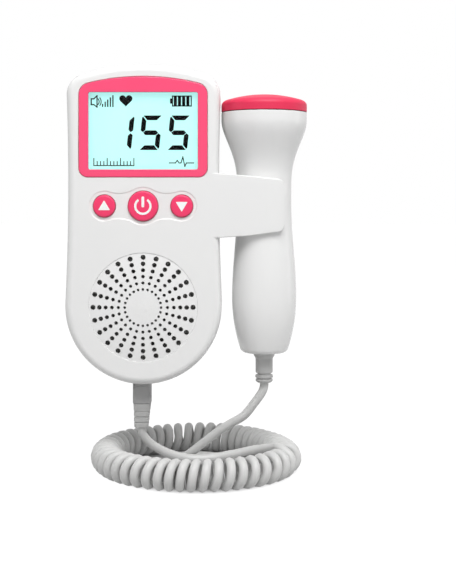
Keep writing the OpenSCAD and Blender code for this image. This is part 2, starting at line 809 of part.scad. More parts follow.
module probe_shell() color("whitesmoke") {
  edge = 2;
  edge_r = probe_r(foot_z + edge);
  on_probe() rotate_extrude($fn = 96) difference() {
    polygon([
      [0, foot_z],
      for (a = [-90:22.5:0]) [edge_r - edge + edge * cos(a), foot_z + edge + edge * sin(a)],
      each probe_profile(foot_z + edge + 1, shell_top, 36, 0),
      [0, shell_top]
    ]);
    polygon([
      [0, foot_z + probe_wall],
      [foot_r - 2 * edge, foot_z + probe_wall],
      each probe_profile(foot_z + edge + 2, shell_top + 1, 20, -probe_wall),
      [0, shell_top + 1]
    ]);
    translate([-1, foot_z - 1]) square([5.35, 4]);
  }
}

module probe_cap() color("deeppink") {
  side_top = cap_low + cap_side_h;
  crown = cap_low + cap_h;
  inner = probe_wall;
  on_probe() rotate_extrude($fn = 96) polygon([
    [0, crown], for (k = [1:5]) let (x = (head_r - 2) * k / 5) [x, crown - x * x / (2 * dome_r)],
    [head_r - 0.9, crown - 4.5 / dome_r * 43],
    [head_r - 0.2, side_top - 0.6], [head_r, side_top - 2], [head_r, cap_low],
    [head_r - probe_wall - 0.1, cap_low], [head_r - probe_wall - 0.1, cap_low - seat_depth],
    [head_r - 2 * probe_wall, cap_low - seat_depth], [head_r - 2 * probe_wall, crown - 5.2],
    [0, crown - inner]
  ]);
}

module probe_seal() color("dimgray") {
  on_probe() translate([0, 0, shell_top]) difference() {
    cylinder(r = head_r - 0.4, h = seal_t);
    translate([0, 0, -1]) cylinder(r = head_r - probe_wall, h = 3);
  }
}

module probe_transducers() color("khaki") {
  r = head_r - 2 * probe_wall - 0.4;
  for (s = [0, 180]) on_probe() rotate([0, 0, s]) intersection() {
    translate([0, 0, crystal_low]) cylinder(r = r, h = crystal_t);
    block([0.5, -r, crystal_low - 1], [r + 1, r, crystal_low + crystal_t + 1]);
  }
}

module transducer_backing() color("slategray") {
  on_probe() translate([0, 0, crystal_low - backing_t])
    cylinder(r = head_r - 2 * probe_wall - 0.2, h = backing_t);
}

module probe_board() color("seagreen") {
  half_w = waist_r - probe_wall - 0.15;
  low = waist_z - grip_len / 2;
  chip = half_w / 2.5;
  on_probe() {
    block([-half_w, -board_t / 2, low], [half_w, board_t / 2, waist_z + flare_low]);
    block([-chip, board_t / 2, low + grip_len / 5], [chip, board_t, low + grip_len / 3]);
  }
}

module probe_strain_relief() color("darkgray") {
  top = foot_z + probe_wall + 1.4;
  on_probe() rotate_extrude() polygon([
    [0, top], [5.6, top], [5.6, foot_z + probe_wall + 0.05], [4.2, foot_z + probe_wall + 0.05], [4.2, foot_z],
    [4.8, foot_z - 0.05], [4.6, foot_z - 1.2], [relief_r, foot_z - 2.7], [relief_r, foot_z - 8.8],
    [2.9, foot_z - 9.2], [2.9, foot_z - 9.6], [relief_r + 0.15, foot_z - 9.9],
    [relief_r + 0.15, foot_z - 10.9], [3.2, foot_z - 11.1], [3.2, foot_z - 11.6],
    [relief_r + 0.05, foot_z - 11.8], [relief_r, foot_z - 12.4], [3.2, foot_z - 13],
    [2.8, relief_low], [0, relief_low]
  ]);
}

// ---- Cord and its plug ----

module cord_plug() color("darkgray") {
  w = plug_w / 2;
  d = plug_d / 2;
  translate([plug_x, 0, 0]) difference() {
    block([-w, plug_y - d, plug_low], [w, plug_y + d, plug_low + plug_len]);
    // Step between the body and the contacts
    block([-w - 1, plug_y - d - 1, plug_low + 8], [w + 1, plug_y - d + 0.5, plug_low + 9]);
    for (k = [-3:3]) block([k * 1.1 - 0.3, plug_y - d - 1, plug_low + plug_len - 5],
      [k * 1.1 + 0.3, plug_y - d + 0.8, plug_low + plug_len + 1]);
  }
}

module plug_boot() color("darkgray") {
  translate([plug_x, plug_y, plug_low]) mirror([0, 0, 1]) {
    linear_extrude(boot_len, scale = 0.85) polygon(rounded_box(6.6, 5.6, 1.6));
    linear_extrude(3.4, scale = 0.96) polygon(rounded_box(7.5, 6.4, 1.8));
    for (k = [0:2]) translate([0, 0, 4.1 + 2.2 * k])
      linear_extrude(1.7, scale = 0.97) polygon(rounded_box(7.1 - 0.3 * k, 6 - 0.3 * k, 1.7));
  }
}

module monitor_lead() color("lightgray") sweep(smoothed(monitor_lead_points), cord_d / 2, 8);
module probe_lead() color("lightgray") sweep(smoothed(probe_lead_points), cord_d / 2, 8);

module coiled_cord() color("lightgray") {
  translate(ring_c) rotate([0, 0, ring_start]) rotate_extrude(angle = ring_end - ring_start, $fn = 72)
    translate([ring_r, 0]) circle(r = curl_r, $fn = 32);
}

front_cover();
rear_cover();
battery_door();
display_bezel();
display_lens();
display_gasket();
lcd_panel();
lcd_backlight();
lcd_holder();
main_board();
tact_switches();
board_screws();
power_button();
volume_up_button();
volume_down_button();
speaker_grille();
speaker_gasket();
speaker_frame();
speaker_cone();
speaker_magnet();
batteries();
battery_springs();
battery_contacts();
case_screws();
headphone_jack();
probe_socket();
probe_shell();
probe_cap();
probe_seal();
probe_transducers();
transducer_backing();
probe_board();
probe_strain_relief();
cord_plug();
plug_boot();
monitor_lead();
coiled_cord();
probe_lead();
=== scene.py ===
"""Looks of a handheld fetal doppler: the monitor, its display and buttons, the probe and the curly cord.

Lengths are in millimetres until a mesh is made, and metres after that. The frame is the part's own:
X to the right, Y to the rear, Z up, from the middle of the flat rear face.
"""

import math

import bmesh
import bpy
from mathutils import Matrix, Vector


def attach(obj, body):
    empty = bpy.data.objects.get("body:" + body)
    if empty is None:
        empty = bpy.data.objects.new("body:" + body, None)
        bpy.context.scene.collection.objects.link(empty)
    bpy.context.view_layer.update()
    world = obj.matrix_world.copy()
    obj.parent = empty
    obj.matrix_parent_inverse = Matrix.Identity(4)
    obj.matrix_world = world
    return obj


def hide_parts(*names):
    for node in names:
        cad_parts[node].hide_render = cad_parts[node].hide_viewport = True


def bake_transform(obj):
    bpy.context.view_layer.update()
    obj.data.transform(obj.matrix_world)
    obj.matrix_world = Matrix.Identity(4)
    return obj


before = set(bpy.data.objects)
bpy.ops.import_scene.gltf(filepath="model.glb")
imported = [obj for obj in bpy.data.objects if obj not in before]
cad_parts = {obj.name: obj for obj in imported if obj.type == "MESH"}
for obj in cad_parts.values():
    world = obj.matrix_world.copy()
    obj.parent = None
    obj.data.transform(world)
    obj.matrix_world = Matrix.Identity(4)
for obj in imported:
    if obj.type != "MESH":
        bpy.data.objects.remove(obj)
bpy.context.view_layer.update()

MM = 0.001

# Housing, as in the part's source
BODY_H = 136.2
BULB_R = 33.35
TOP_HALF_W = 32.75
CORNER_R = 9.0
ARCH_R = 85.4
SIDE_R = 1043.0
WALL = 2.0
FRONT_ROUND = 3.2
REAR_ROUND = 7.0
FACE_Y = -33.5
SEAM_Y = -15.0
SEAM_GAP = 0.4
INNER_Y = FACE_Y + WALL
SEAM_EDGE = 0.3
TOP_Z = BODY_H / 2
BULB_Z = BULB_R - BODY_H / 2
ARCH_Z = TOP_Z - ARCH_R

# Display
BEZEL_W = 54.5
BEZEL_H = BODY_H * 0.313
BEZEL_MARGIN = 5.45
BEZEL_ARCH_R = 99.0
BEZEL_T = 1.5
BEZEL_PROUD = 0.3
BEZEL_LOW = TOP_Z - BEZEL_MARGIN - BEZEL_H
BEZEL_BACK = FACE_Y - BEZEL_PROUD + BEZEL_T
BEZEL_ARCH_C = (0, TOP_Z - BEZEL_MARGIN - BEZEL_ARCH_R)
WINDOW_W = 46.4
WINDOW_H = BEZEL_H - 3.25 - 6.6
WINDOW_Z = BEZEL_LOW + 3.25 + WINDOW_H / 2
LENS_W = WINDOW_W + 2.0
LENS_H = WINDOW_H + 2.0
LENS_T = 1.0
LCD_Y = INNER_Y + 0.6

# Buttons
POWER_R = 6.35
VOLUME_R = 4.7
BUTTON_PITCH = 16.4
BUTTON_Z = BEZEL_LOW - BODY_H * 0.09
BUTTON_PROUD = 0.8
BUTTON_GAP = 0.25
FLANGE_R = 1.2
FLANGE_Y = INNER_Y + 0.2
FLANGE_T = 0.8
RECESS_MARGIN = 1.65

# Speaker
GRILLE_Z = BULB_Z - 0.45
GRILLE_R = 23.1
GRILLE_Y = FACE_Y + 0.25
GRILLE_BACK = INNER_Y + 1.2
GRILLE_FLANGE_R = GRILLE_R + 1.6
DOME_RISE = 1.3

# Probe and holder
HEAD_R = 18.6
WAIST_R = 11.85
BULGE_R = 14.0
FOOT_R = 9.9
FLARE_H = 35.5
HEAD_SIDE_H = 3.5
FLARE_LOW = 5.4
BULGE_DROP = 41.4
GRIP_LEN = 65.2
CAP_H = 7.6
PROBE_WALL = 1.8
WAIST_Z = TOP_Z - 58.8
HOLDER_WALL = 2.25
CLIP_GAP = 0.3
CRADLE_R = WAIST_R + CLIP_GAP + HOLDER_WALL
PROBE_X = TOP_HALF_W + 0.4 + HEAD_R
PROBE_Y = FACE_Y + CRADLE_R
JAW_ANGLE = 36.0
ARM_Z = WAIST_Z - 1.3
ARM_START = TOP_HALF_W - FRONT_ROUND - 1.0
ARM_H = 27.8
ARM_END_H = 22.7
SHELL_TOP = WAIST_Z + FLARE_H + HEAD_SIDE_H
CAP_LOW = SHELL_TOP + 0.3
FOOT_Z = WAIST_Z - GRIP_LEN
RELIEF_R = 3.75
RELIEF_LEN = 13.2

# Battery bay and screws
BAY_HALF_W = 15.4
BAY_HALF_H = 29.0
BAY_WALL = 1.2
DOOR_T = 1.6
CELL_R = 7.05
CELL_GAP = 0.9
CELL_HALF = 25.25
CELL_X = 7.45
CELL_Y = -DOOR_T - CELL_GAP - CELL_R
BAY_FLOOR = -DOOR_T - CELL_GAP - 2 * CELL_R - 0.3
DOOR_HALF_W = BAY_HALF_W + BAY_WALL + 0.6
DOOR_TOP = BAY_HALF_H + BAY_WALL + 1.0
DOOR_GAP = 0.2
HINGE_Y = -DOOR_T / 2
HINGE_Z = -DOOR_TOP
SCREW_REACH = BULB_R - WALL - 2.6
SCREWS = [(s * (TOP_HALF_W - WALL - 3.2), TOP_Z - 17.5) for s in (-1, 1)] + [
    (s * SCREW_REACH * math.cos(math.radians(42)), BULB_Z - SCREW_REACH * math.sin(math.radians(42)))
    for s in (-1, 1)
]
SCREW_RECESS = 3.0
SCREW_R = 1.3
BOSS_R = 3.6
BOSS_FRONT = -23.4

# Sockets, plug and cord
PLUG_X = -1.15
PLUG_Y = FACE_Y + 12.0
PLUG_W = 7.9
PLUG_D = 6.8
PLUG_LEN = 21.0
PLUG_GAP = 0.3
PLUG_LOW = -BODY_H / 2 - 9.55
BOOT_LEN = 10.3
JACK_Y = -20.8
JACK_Z = TOP_Z - 37.0
CORD_D = 3.8
RING_C = Vector((23.8, -16.2, -101.3))
CURL_R = 6.7
CURL_WIND = 65.0
# Turns of the curl from the monitor's end, and the place on the ring that each has reached, in degrees
CURL_PLACES = (
    (0, 337), (1.68, 324), (2.68, 314.5), (4.68, 298.5), (6.68, 284.2), (8.68, 270.5), (12.68, 245.3),
    (17.68, 209), (29.93, 121.4), (35.93, 77), (48.486, -11),
)
# Places on the ring, and its radius there: it lies a little out of round
RING_RADII = (
    (-11, 38.0), (12, 36.2), (36, 35.6), (60, 37.3), (77, 39.6), (90, 40.2), (121, 39.4), (152, 40.9),
    (180, 41.15), (225, 40.0), (270, 39.0), (300, 38.8), (337, 38.3),
)
FLOOR_Z = RING_C.z - CURL_R
MONITOR_LEAD = [
    (-1.15, -21.5, -88.05), (-1.15, -21.5, -89.2), (-1.2, -21.4, -90.4), (-0.6, -21, -92),
    (1.23, -20, -94.55), (4.04, -19, -97), (7.5, -18, -99.15), (11.3, -17, -100.94),
    (15.1, -16, -102.2), (19.9, -15, -103.2), (25.9, -14.5, -103.36), (32.1, -14.2, -102.6),
    (36.4, -14.5, -101.7), (40.8, -15, -100.8), (45.65, -16, -99.46), (50.4, -18, -98.27),
    (54.2, -21.5, -97.2), (56.8, -25.6, -96.1), (57.5, -28.5, -95.7), (58.5, -30.3, -95.7),
    (59.8, -31.3, -96.25),
]
PROBE_LEAD = [
    (51.75, -19.1, -69.2), (51.75, -19.1, -70.2), (51.6, -19.1, -71.3), (50.95, -19.1, -73.1),
    (49.3, -19, -75.74), (46.9, -18.7, -78.9), (45.2, -18.4, -81.3), (43.0, -18, -83.74),
    (40.4, -17.4, -85.6), (37.6, -16.6, -87.2), (34.6, -15.9, -89.2), (31.6, -15, -91.35),
    (28, -14.2, -94.3), (24, -13, -97.6), (20.3, -11.4, -100.8), (16.9, -9.8, -103.4),
    (13.5, -7.2, -105.4), (11.3, -2.9, -106.1), (13, 1.9, -106.1), (17.8, 4.6, -106.1),
    (24.5, 4.2, -106.1), (31, 1.6, -106.1), (37, -2.2, -106.1), (42.5, -7.8, -106.1),
    (47.5, -13.8, -106.1), (52.3, -19.8, -106.1), (54.8, -21.7, -106.0), (56.8, -22.9, -105.9),
    (58.2, -23.2, -105.75),
]

# Camera: level, 490 mm before the monitor's face
PICTURE_H = 567
CAMERA_AT = (36.0, -523.5, 8.5)
FOCAL_PX = 1157.0
HORIZON_PX = 204.3


# ---- Making meshes ----


def in_scene(name, data):
    """A new object in the scene."""
    thing = bpy.data.objects.new(name, data)
    bpy.context.scene.collection.objects.link(thing)
    return thing


def edited(mesh, *steps):
    """Runs steps of editing on a mesh."""
    shape = bmesh.new()
    shape.from_mesh(mesh)
    for step in steps:
        step(shape)
    shape.to_mesh(mesh)
    shape.free()


def merge_points(shape):
    """Makes one point of points at one place."""
    bmesh.ops.remove_doubles(shape, verts=shape.verts, dist=1e-7)


def face_outwards(shape):
    """Makes all normals point outwards."""
    bmesh.ops.recalc_face_normals(shape, faces=shape.faces)


def split_caps(shape):
    """Makes triangles of the faces with many corners."""
    bmesh.ops.triangulate(shape, faces=[f for f in shape.faces if len(f.verts) > 4])


def new_piece(name, points, faces):
    """An object from points in millimetres."""
    mesh = bpy.data.meshes.new(name)
    mesh.from_pydata([tuple(c * MM for c in p) for p in points], [], faces)
    mesh.validate()
    edited(mesh, merge_points, face_outwards)
    return in_scene(name, mesh)


def settle(piece):
    """Turns a piece's modifiers into plain mesh."""
    graph = bpy.context.evaluated_depsgraph_get()
    shape = bpy.data.meshes.new_from_object(piece.evaluated_get(graph))
    piece.modifiers.clear()
    spent = piece.data
    piece.data = shape
    bpy.data.meshes.remove(spent)
    return piece


def cut(piece, tools, operation="DIFFERENCE"):
    """Cuts tools out of a piece, or joins them to it, and removes them."""
    for tool in tools:
        change = piece.modifiers.new(tool.name, "BOOLEAN")
        change.operation = operation
        change.solver = "EXACT"
        change.object = tool
    settle(piece)
    for tool in tools:
        bpy.data.meshes.remove(tool.data)
    return piece


def joined(pieces, name=None):
    """Makes one piece of several, under the first one's name or a new one."""
    piece, *others = pieces

    def add_others(shape):
        for other in others:
            shape.from_mesh(other.data)

    edited(piece.data, add_others)
    for other in others:
        bpy.data.meshes.remove(other.data)
    piece.name = name or piece.name
    return piece


def shaded(piece, angle=30):
    """Smooth shading between faces that meet at less than the angle, led by the large faces."""
    mesh = piece.data
    mesh.polygons.foreach_set("use_smooth", [True] * len(mesh.polygons))
    mesh.set_sharp_from_angle(angle=math.radians(angle))
    even = piece.modifiers.new("even_shading", "WEIGHTED_NORMAL")
    even.keep_sharp = True
    return settle(piece)


def softened(piece, width, angle=40, segments=2):
    """Small rounding on the edges that turn by more than the angle."""
    edge = piece.modifiers.new("edge_rounding", "BEVEL")
    edge.width = width * MM
    edge.segments = segments
    edge.limit_method = "ANGLE"
    edge.angle_limit = math.radians(angle)
    edge.harden_normals = False
    return settle(piece)


def finished(piece, body, material, slot, *nodes):
    """Gives a piece its material and its body, and hides the nodes that it stands for. The slot is not used.
    """
    piece.data.materials.clear()
    piece.data.materials.append(material)
    piece.data.polygons.foreach_set("material_index", [0] * len(piece.data.polygons))
    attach(piece, body)
    if nodes:
        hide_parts(*nodes)
    return piece


def skin(name, rings, closed=False):
    """A solid through rings of equal counts, capped at both ends unless the rings close on themselves."""
    count = len(rings[0])
    points = [p for ring in rings for p in ring]
    faces = []
    spans = len(rings) if closed else len(rings) - 1
    for k in range(spans):
        a, b = k * count, (k + 1) % len(rings) * count
        faces += [(a + i, a + (i + 1) % count, b + (i + 1) % count, b + i) for i in range(count)]
    if not closed:
        faces += [tuple(range(count)), tuple(range(len(points) - count, len(points)))]
    return new_piece(name, points, faces)


def turned(name, section, at, axis="z", sides=96):
    """A solid turned about an axis, from the (radius, height) points round its section."""
    points, rows = [], []
    for radius, height in section:
        ring = 1 if radius < 1e-6 else sides
        rows.append(list(range(len(points), len(points) + ring)))
        for k in range(ring):
            a = 2 * math.pi * k / sides
            u, v = radius * math.cos(a), radius * math.sin(a)
            shift = {"z": (u, v, height), "y": (u, height, v), "x": (height, u, v)}[axis]
            points.append([c + s for c, s in zip(at, shift)])
    faces = []
    for row, after in zip(rows, rows[1:] + rows[:1]):
        for k in range(sides):
            corners = [row[k % len(row)], row[(k + 1) % len(row)]]
            corners += [after[(k + 1) % len(after)], after[k % len(after)]]
            corners = [c for i, c in enumerate(corners) if c not in corners[:i]]
            if len(corners) > 2:
                faces.append(corners)
    return new_piece(name, points, faces)


def stacked(name, outline, levels, closed=False):
    """A solid through one outline in X and Z, drawn at several places along Y, each with its own margin."""
    return skin(name, [[(x, y, z) for x, z in outline(margin)] for y, margin in levels], closed)


def slab(name, outline_xz, front, back):
    """A flat shape in X and Z with its thickness along Y."""
    return stacked(name, lambda margin: outline_xz, [(front, 0), (back, 0)])


def box(name, low, high):
    """A box from corner to corner."""
    corners = [(low[0], low[2]), (high[0], low[2]), (high[0], high[2]), (low[0], high[2])]
    return slab(name, corners, low[1], high[1])


def tube(name, path, radius, sides):
    """A round tube along a path."""
    normal = Vector((0.3, 0.9, 0.4))
    rings = []
    for i, p in enumerate(path):
        ahead = (path[min(i + 1, len(path) - 1)] - path[max(i - 1, 0)]).normalized()
        normal = (normal - normal.dot(ahead) * ahead).normalized()
        side = ahead.cross(normal)
        angles = [2 * math.pi * k / sides for k in range(sides)]
        rings.append([p + radius * (math.cos(a) * normal + math.sin(a) * side) for a in angles])
    return skin(name, rings)


# ---- Outlines, as in the part's source ----


def turn_to(v):
    """Direction of a flat vector, in degrees."""
    return math.degrees(math.atan2(v[1], v[0]))


def arc(centre, radius, start, end, steps):
    """Points of an arc from one direction to another."""
    angles = [math.radians(start + (end - start) * k / steps) for k in range(steps + 1)]
    return [(centre[0] + radius * math.cos(a), centre[1] + radius * math.sin(a)) for a in angles]


def outside_circle(p, p_r, q, q_r, r):
    """Centre of the circle of radius r that touches two circles from outside, on the right from p to q."""
    p, q = Vector(p), Vector(q)
    d = (q - p).length
    along = ((p_r + r) ** 2 - (q_r + r) ** 2 + d * d) / (2 * d)
    across = math.sqrt((p_r + r) ** 2 - along**2)
    u = (q - p) / d
    return p + u * along + Vector((u.y, -u.x)) * across


BULB_C = Vector((0, BULB_Z))
CORNER_X = TOP_HALF_W - CORNER_R
CORNER_C = Vector((CORNER_X, ARCH_Z + math.sqrt((ARCH_R - CORNER_R) ** 2 - CORNER_X**2)))
ARCH_C = Vector((0, ARCH_Z))
SIDE_C = outside_circle(BULB_C, BULB_R, CORNER_C, CORNER_R, SIDE_R)


def mirrored(points):
    """The same points on the other side of the middle, in the opposite order."""
    return [(-x, z) for x, z in reversed(points)]


def housing_outline(inset):
    """The monitor's outline moved inwards, in fine steps."""
    bulb_end, side_start = turn_to(SIDE_C - BULB_C), 180 + turn_to(SIDE_C - BULB_C)
    corner_start, corner_end = turn_to(SIDE_C - CORNER_C), turn_to(CORNER_C - ARCH_C)
    right = (
        arc(BULB_C, BULB_R - inset, -88, bulb_end, 44)
        + arc(SIDE_C, SIDE_R + inset, side_start, 180 + corner_start, 10)[1:-1]
        + arc(CORNER_C, CORNER_R - inset, corner_start, corner_end, 16)
        + arc(ARCH_C, ARCH_R - inset, corner_end, 90, 12)[1:-1]
    )
    return [(0, BULB_Z - BULB_R + inset)] + right + [(0, TOP_Z - inset)] + mirrored(right)


def bezel_outline(grow):
    """The bezel's outline grown by a margin."""
    half_w, low = BEZEL_W / 2 + grow, BEZEL_LOW - grow
    low_r, top_r, arch = 3.8 + grow, 5 + grow, BEZEL_ARCH_R + grow
    side = half_w - top_r
    arch_c = Vector(BEZEL_ARCH_C)
    c = arch_c + Vector((side, math.sqrt((arch - top_r) ** 2 - side**2)))
    right = (
        arc((half_w - low_r, low + low_r), low_r, -90, 0, 10)
        + arc(c, top_r, 0, turn_to(c - arch_c), 10)
        + arc(arch_c, arch, turn_to(c - arch_c), 90, 14)[1:-1]
    )
    return right + [(0, arch_c.y + arch)] + mirrored(right)


def rounded_box(w, h, r, steps=6):
    """A rectangle with rounded corners, about the middle."""
    x, z = w / 2 - r, h / 2 - r
    corners = [((x, z), 0), ((-x, z), 90), ((-x, -z), 180), ((x, -z), 270)]
    return [p for c, a in corners for p in arc(c, r, a, a + 90, steps)]


def button_outline(grow):
    """One smooth line round the three buttons, at a distance from their edges."""
    big, small, blend = POWER_R + grow, VOLUME_R + grow, 13.0 - grow + RECESS_MARGIN
    pitch = (BUTTON_PITCH, 0)
    c = outside_circle((0, 0), big, pitch, small, blend)
    right = (
        arc((0, 0), big, -90, turn_to(c), 10)[1:-1]
        + arc(c, blend, 180 + turn_to(c), turn_to(Vector(pitch) - c), 10)
        + arc(pitch, small, turn_to(c - Vector(pitch)), 0, 18)[1:]
    )
    whole = right + [(x, -z) for x, z in reversed(right[:-1])]
    return whole + [(0, big)] + mirrored(whole) + [(0, -big)]


def moved(points, z):
    """Flat points moved up."""
    return [(x, h + z) for x, h in points]


def framed(w, h, r, z=0.0):
    """A rounded rectangle at a height, as an outline that takes a margin."""
    return lambda margin: moved(rounded_box(w + 2 * margin, h + 2 * margin, r + margin), z)


def rounding(radius, steps):
    """(depth, inset) points of a rounded edge, from the face to the side."""
    angles = [math.pi / 2 * k / steps for k in range(steps + 1)]
    return [(radius * (1 - math.cos(a)), radius * (1 - math.sin(a))) for a in angles]


def opening(name, outline, lip, front, back):
    """Cutter for an opening whose front edge is rounded by the lip."""
    levels = [(front - 1, lip)] + [(front + d, i) for d, i in rounding(lip, 4)] + [(back, 0)]
    return stacked(name, outline, levels)


def round_opening(name, x, z, radius, lip, front, back, sides=64):
    """Cutter for a round opening with a rounded front edge."""
    section = [(0, front - 1), (radius + lip, front - 1)]
    section += [(radius + i, front + d) for d, i in rounding(lip, 4)] + [(radius, back), (0, back)]
    return turned(name, section, (x, 0, z), "y", sides)


# ---- Materials ----


def linear(colour):
    """An sRGB hex colour as linear values."""
    parts = [int(colour[i : i + 2], 16) / 255 for i in (1, 3, 5)]
    return [c / 12.92 if c <= 0.04045 else ((c + 0.055) / 1.055) ** 2.4 for c in parts] + [1.0]


def put(tree, kind, inputs=None, **properties):
    """Adds a node with its properties; an input is given a value, or linked where the value is a socket."""
    node = tree.nodes.new(kind)
    for key, value in properties.items():
        setattr(node, key, value)
    for key, value in (inputs or {}).items():
        if isinstance(value, bpy.types.NodeSocket):
            tree.links.new(value, node.inputs[key])
        else:
            node.inputs[key].default_value = value
    return node


def bare_tree(block):
    """The node tree of a material or world, emptied."""
    block.use_nodes = True
    block.node_tree.nodes.clear()
    return block.node_tree


def surface(name, light, dark, roughness, spread, cloud, grain, relief, shader):
    """A finish: two close colours in soft clouds, a roughness that varies by the spread, and a raised grain.

    Cloud and grain are the sizes of their patterns in millimetres, and relief is the grain's height.
    """
    material = bpy.data.materials.new(name)
    tree = bare_tree(material)
    at = put(tree, "ShaderNodeTexCoord").outputs["Object"]
    clouds = put(tree, "ShaderNodeTexNoise", {"Vector": at, "Scale": 1 / (cloud * MM), "Detail": 3.0})
    fine = put(tree, "ShaderNodeTexNoise", {"Vector": at, "Scale": 1 / (grain * MM), "Detail": 2.0})
    colours = {"Factor": clouds.outputs["Fac"], 6: linear(light), 7: linear(dark)}
    tone = put(tree, "ShaderNodeMix", colours, data_type="RGBA").outputs[2]
    span = {"From Min": 0.3, "From Max": 0.7, "To Min": roughness - spread, "To Max": roughness + spread}
    rough = put(tree, "ShaderNodeMapRange", {"Value": clouds.outputs["Fac"], **span}).outputs["Result"]
    raised = {"Strength": 1.0, "Distance": relief * MM, "Height": fine.outputs["Fac"]}
    bump = put(tree, "ShaderNodeBump", raised).outputs["Normal"]
    inputs = {"Base Color": tone, "Roughness": rough, "Normal": bump}
    body = put(tree, "ShaderNodeBsdfPrincipled", {**inputs, **shader})
    put(tree, "ShaderNodeOutputMaterial", {"Surface": body.outputs["BSDF"]})
    return material


# Glossy injection-moulded ABS: clean and pale, with the tool's polish and a faint orange peel
housing_abs = surface("glossy_white_abs", "#EEEEED", "#EBEBEB", 0.26, 0.01, 30, 2.4, 0.003, {"IOR": 1.54})
# Glossy dyed acrylic ring: deep even pink, sharper gloss than the housing
bezel_acrylic = surface("glossy_pink_acrylic", "#FF4D7B", "#FC4977", 0.18, 0.03, 14, 2, 0.004, {"IOR": 1.49})
# Dyed ABS keys: stronger pink, a little duller where fingers press
key_abs = surface("pink_abs_key", "#F7356B", "#F33167", 0.32, 0.04, 5, 1.2, 0.006, {"IOR": 1.54})
# Probe cap of dyed ABS with a satin face
cap_abs = surface("pink_abs_cap", "#E52A55", "#E12651", 0.52, 0.04, 12, 1.6, 0.006, {"IOR": 1.5})
# Screen-printed white ink: flat and slightly chalky
key_ink = surface("white_key_ink", "#FFFFFF", "#F4F4F4", 0.55, 0.04, 2, 0.5, 0.004, {"IOR": 1.5})
# Liquid crystal ink: near black, and almost without gloss of its own behind the glass
lcd_ink = surface(
    "liquid_crystal_black", "#040506", "#080A0A", 0.45, 0.05, 6, 0.8, 0.001,
    {"IOR": 1.5, "Specular IOR Level": 0.05},
)
# Curly cord jacket of satin PVC: warm light grey, softly shiny, with a faint extrusion grain
cord_pvc = surface("satin_grey_pvc", "#D5D5D4", "#CECECD", 0.42, 0.06, 9, 0.9, 0.010, {"IOR": 1.53})
# Moulded PVC of the plug: darker grey and duller than the cord
plug_pvc = surface("moulded_grey_pvc", "#AFAFAF", "#A5A5A5", 0.48, 0.05, 5, 0.8, 0.012, {"IOR": 1.53})
# Softer PVC of the sleeves that take the cord's bending: between the plug and the cord in tone
sleeve_pvc = surface("soft_grey_sleeve_pvc", "#C3C3C2", "#BBBBBA", 0.50, 0.05, 5, 0.8, 0.012, {"IOR": 1.53})
# Plain black ABS inside: matt, from a sand-blasted tool
dark_abs = surface("matt_black_abs", "#2A2A2B", "#242425", 0.60, 0.05, 6, 0.6, 0.02, {"IOR": 1.54})
# Nickel-plated steel: bright, with fine rolled lines
nickel = surface("nickel_plated_steel", "#C9C7C2", "#B8B6B1", 0.26, 0.06, 1.5, 0.3, 0.004, {"Metallic": 1.0})
# Speaker cone and ring of pressed paper pulp: grey, fibrous and matt
cone_paper = surface("pressed_paper_cone", "#A4A4A2", "#959593", 0.85, 0.04, 1.5, 0.5, 0.05, {})
# Closed-cell foam of the gaskets: dull, with small pores
gasket_foam = surface("closed_cell_foam", "#2B2B2D", "#1F1F20", 0.92, 0.03, 2, 0.4, 0.06, {})
# Solder mask over glass fibre: green, with the weave just showing
board_mask = surface("green_solder_mask", "#1D6B3C", "#185A32", 0.38, 0.08, 1.6, 0.7, 0.02, {"IOR": 1.55})
# PVC-wrapped dry cell: smooth printed film without words
cell_wrap = surface("wrapped_dry_cell", "#3E5F78", "#35536A", 0.32, 0.05, 8, 1.2, 0.006, {"IOR": 1.5})
# Fired piezo ceramic with rubbed silver faces
crystal_ceramic = surface("silvered_ceramic", "#CFC7A6", "#BDB593", 0.45, 0.08, 2, 0.5, 0.01, {})
# Frosted ABS of the display frame and light guide
frosted_abs = surface("frosted_white_abs", "#E4E4E2", "#DADAD8", 0.62, 0.05, 5, 0.5, 0.02, {"IOR": 1.54})
# Backlit display film: pale cyan light from behind, spread evenly
lcd_film = surface(
    "backlit_display_film", "#8FB8B4", "#86AEAA", 0.40, 0.05, 20, 1.5, 0.002,
    {"Emission Color": linear("#A8ECE9"), "Emission Strength": 0.72},
)
# Clear acrylic lens: hard and even, no tint; the low IOR is that of its anti-glare coat
lens_acrylic = surface(
    "clear_acrylic_lens", "#FFFFFF", "#FFFFFF", 0.03, 0.01, 20, 4, 0.0005,
    {"Transmission Weight": 1.0, "IOR": 1.12, "Specular IOR Level": 0.02},
)


# ---- Camera ----

view = bpy.data.cameras.new("camera")
view.sensor_width = 36.0
view.lens = view.sensor_width * FOCAL_PX / PICTURE_H
view.shift_y = (HORIZON_PX - PICTURE_H / 2) / PICTURE_H
view.clip_start = 0.01
view.clip_end = 20
camera = in_scene("camera", view)
camera.location = Vector(CAMERA_AT) * MM
camera.rotation_euler = (math.pi / 2, 0, 0)
bpy.context.scene.camera = camera


# ---- Cord: one jacket from the plug's boot, round the curled ring, to the probe ----


def smoothed(points, steps):
    """Points on a smooth curve through given ones."""
    last = len(points) - 1
    found = []
    for i in range(last):
        a, b, c, d = (Vector(points[min(max(k, 0), last)]) for k in range(i - 1, i + 3))
        for s in range(steps):
            t = s / steps
            bent = 2 * a - 5 * b + 4 * c - d
            found.append(0.5 * (2 * b + (c - a) * t + bent * t * t + (3 * b - a - 3 * c + d) * t**3))
    return found + [Vector(points[-1])]


def between(table, at):
    """The value at a place of a table of places and values."""
    for (low, first), (high, second) in zip(table, table[1:]):
        if at <= high:
            break
    return first + (second - first) * (at - low) / (high - low)


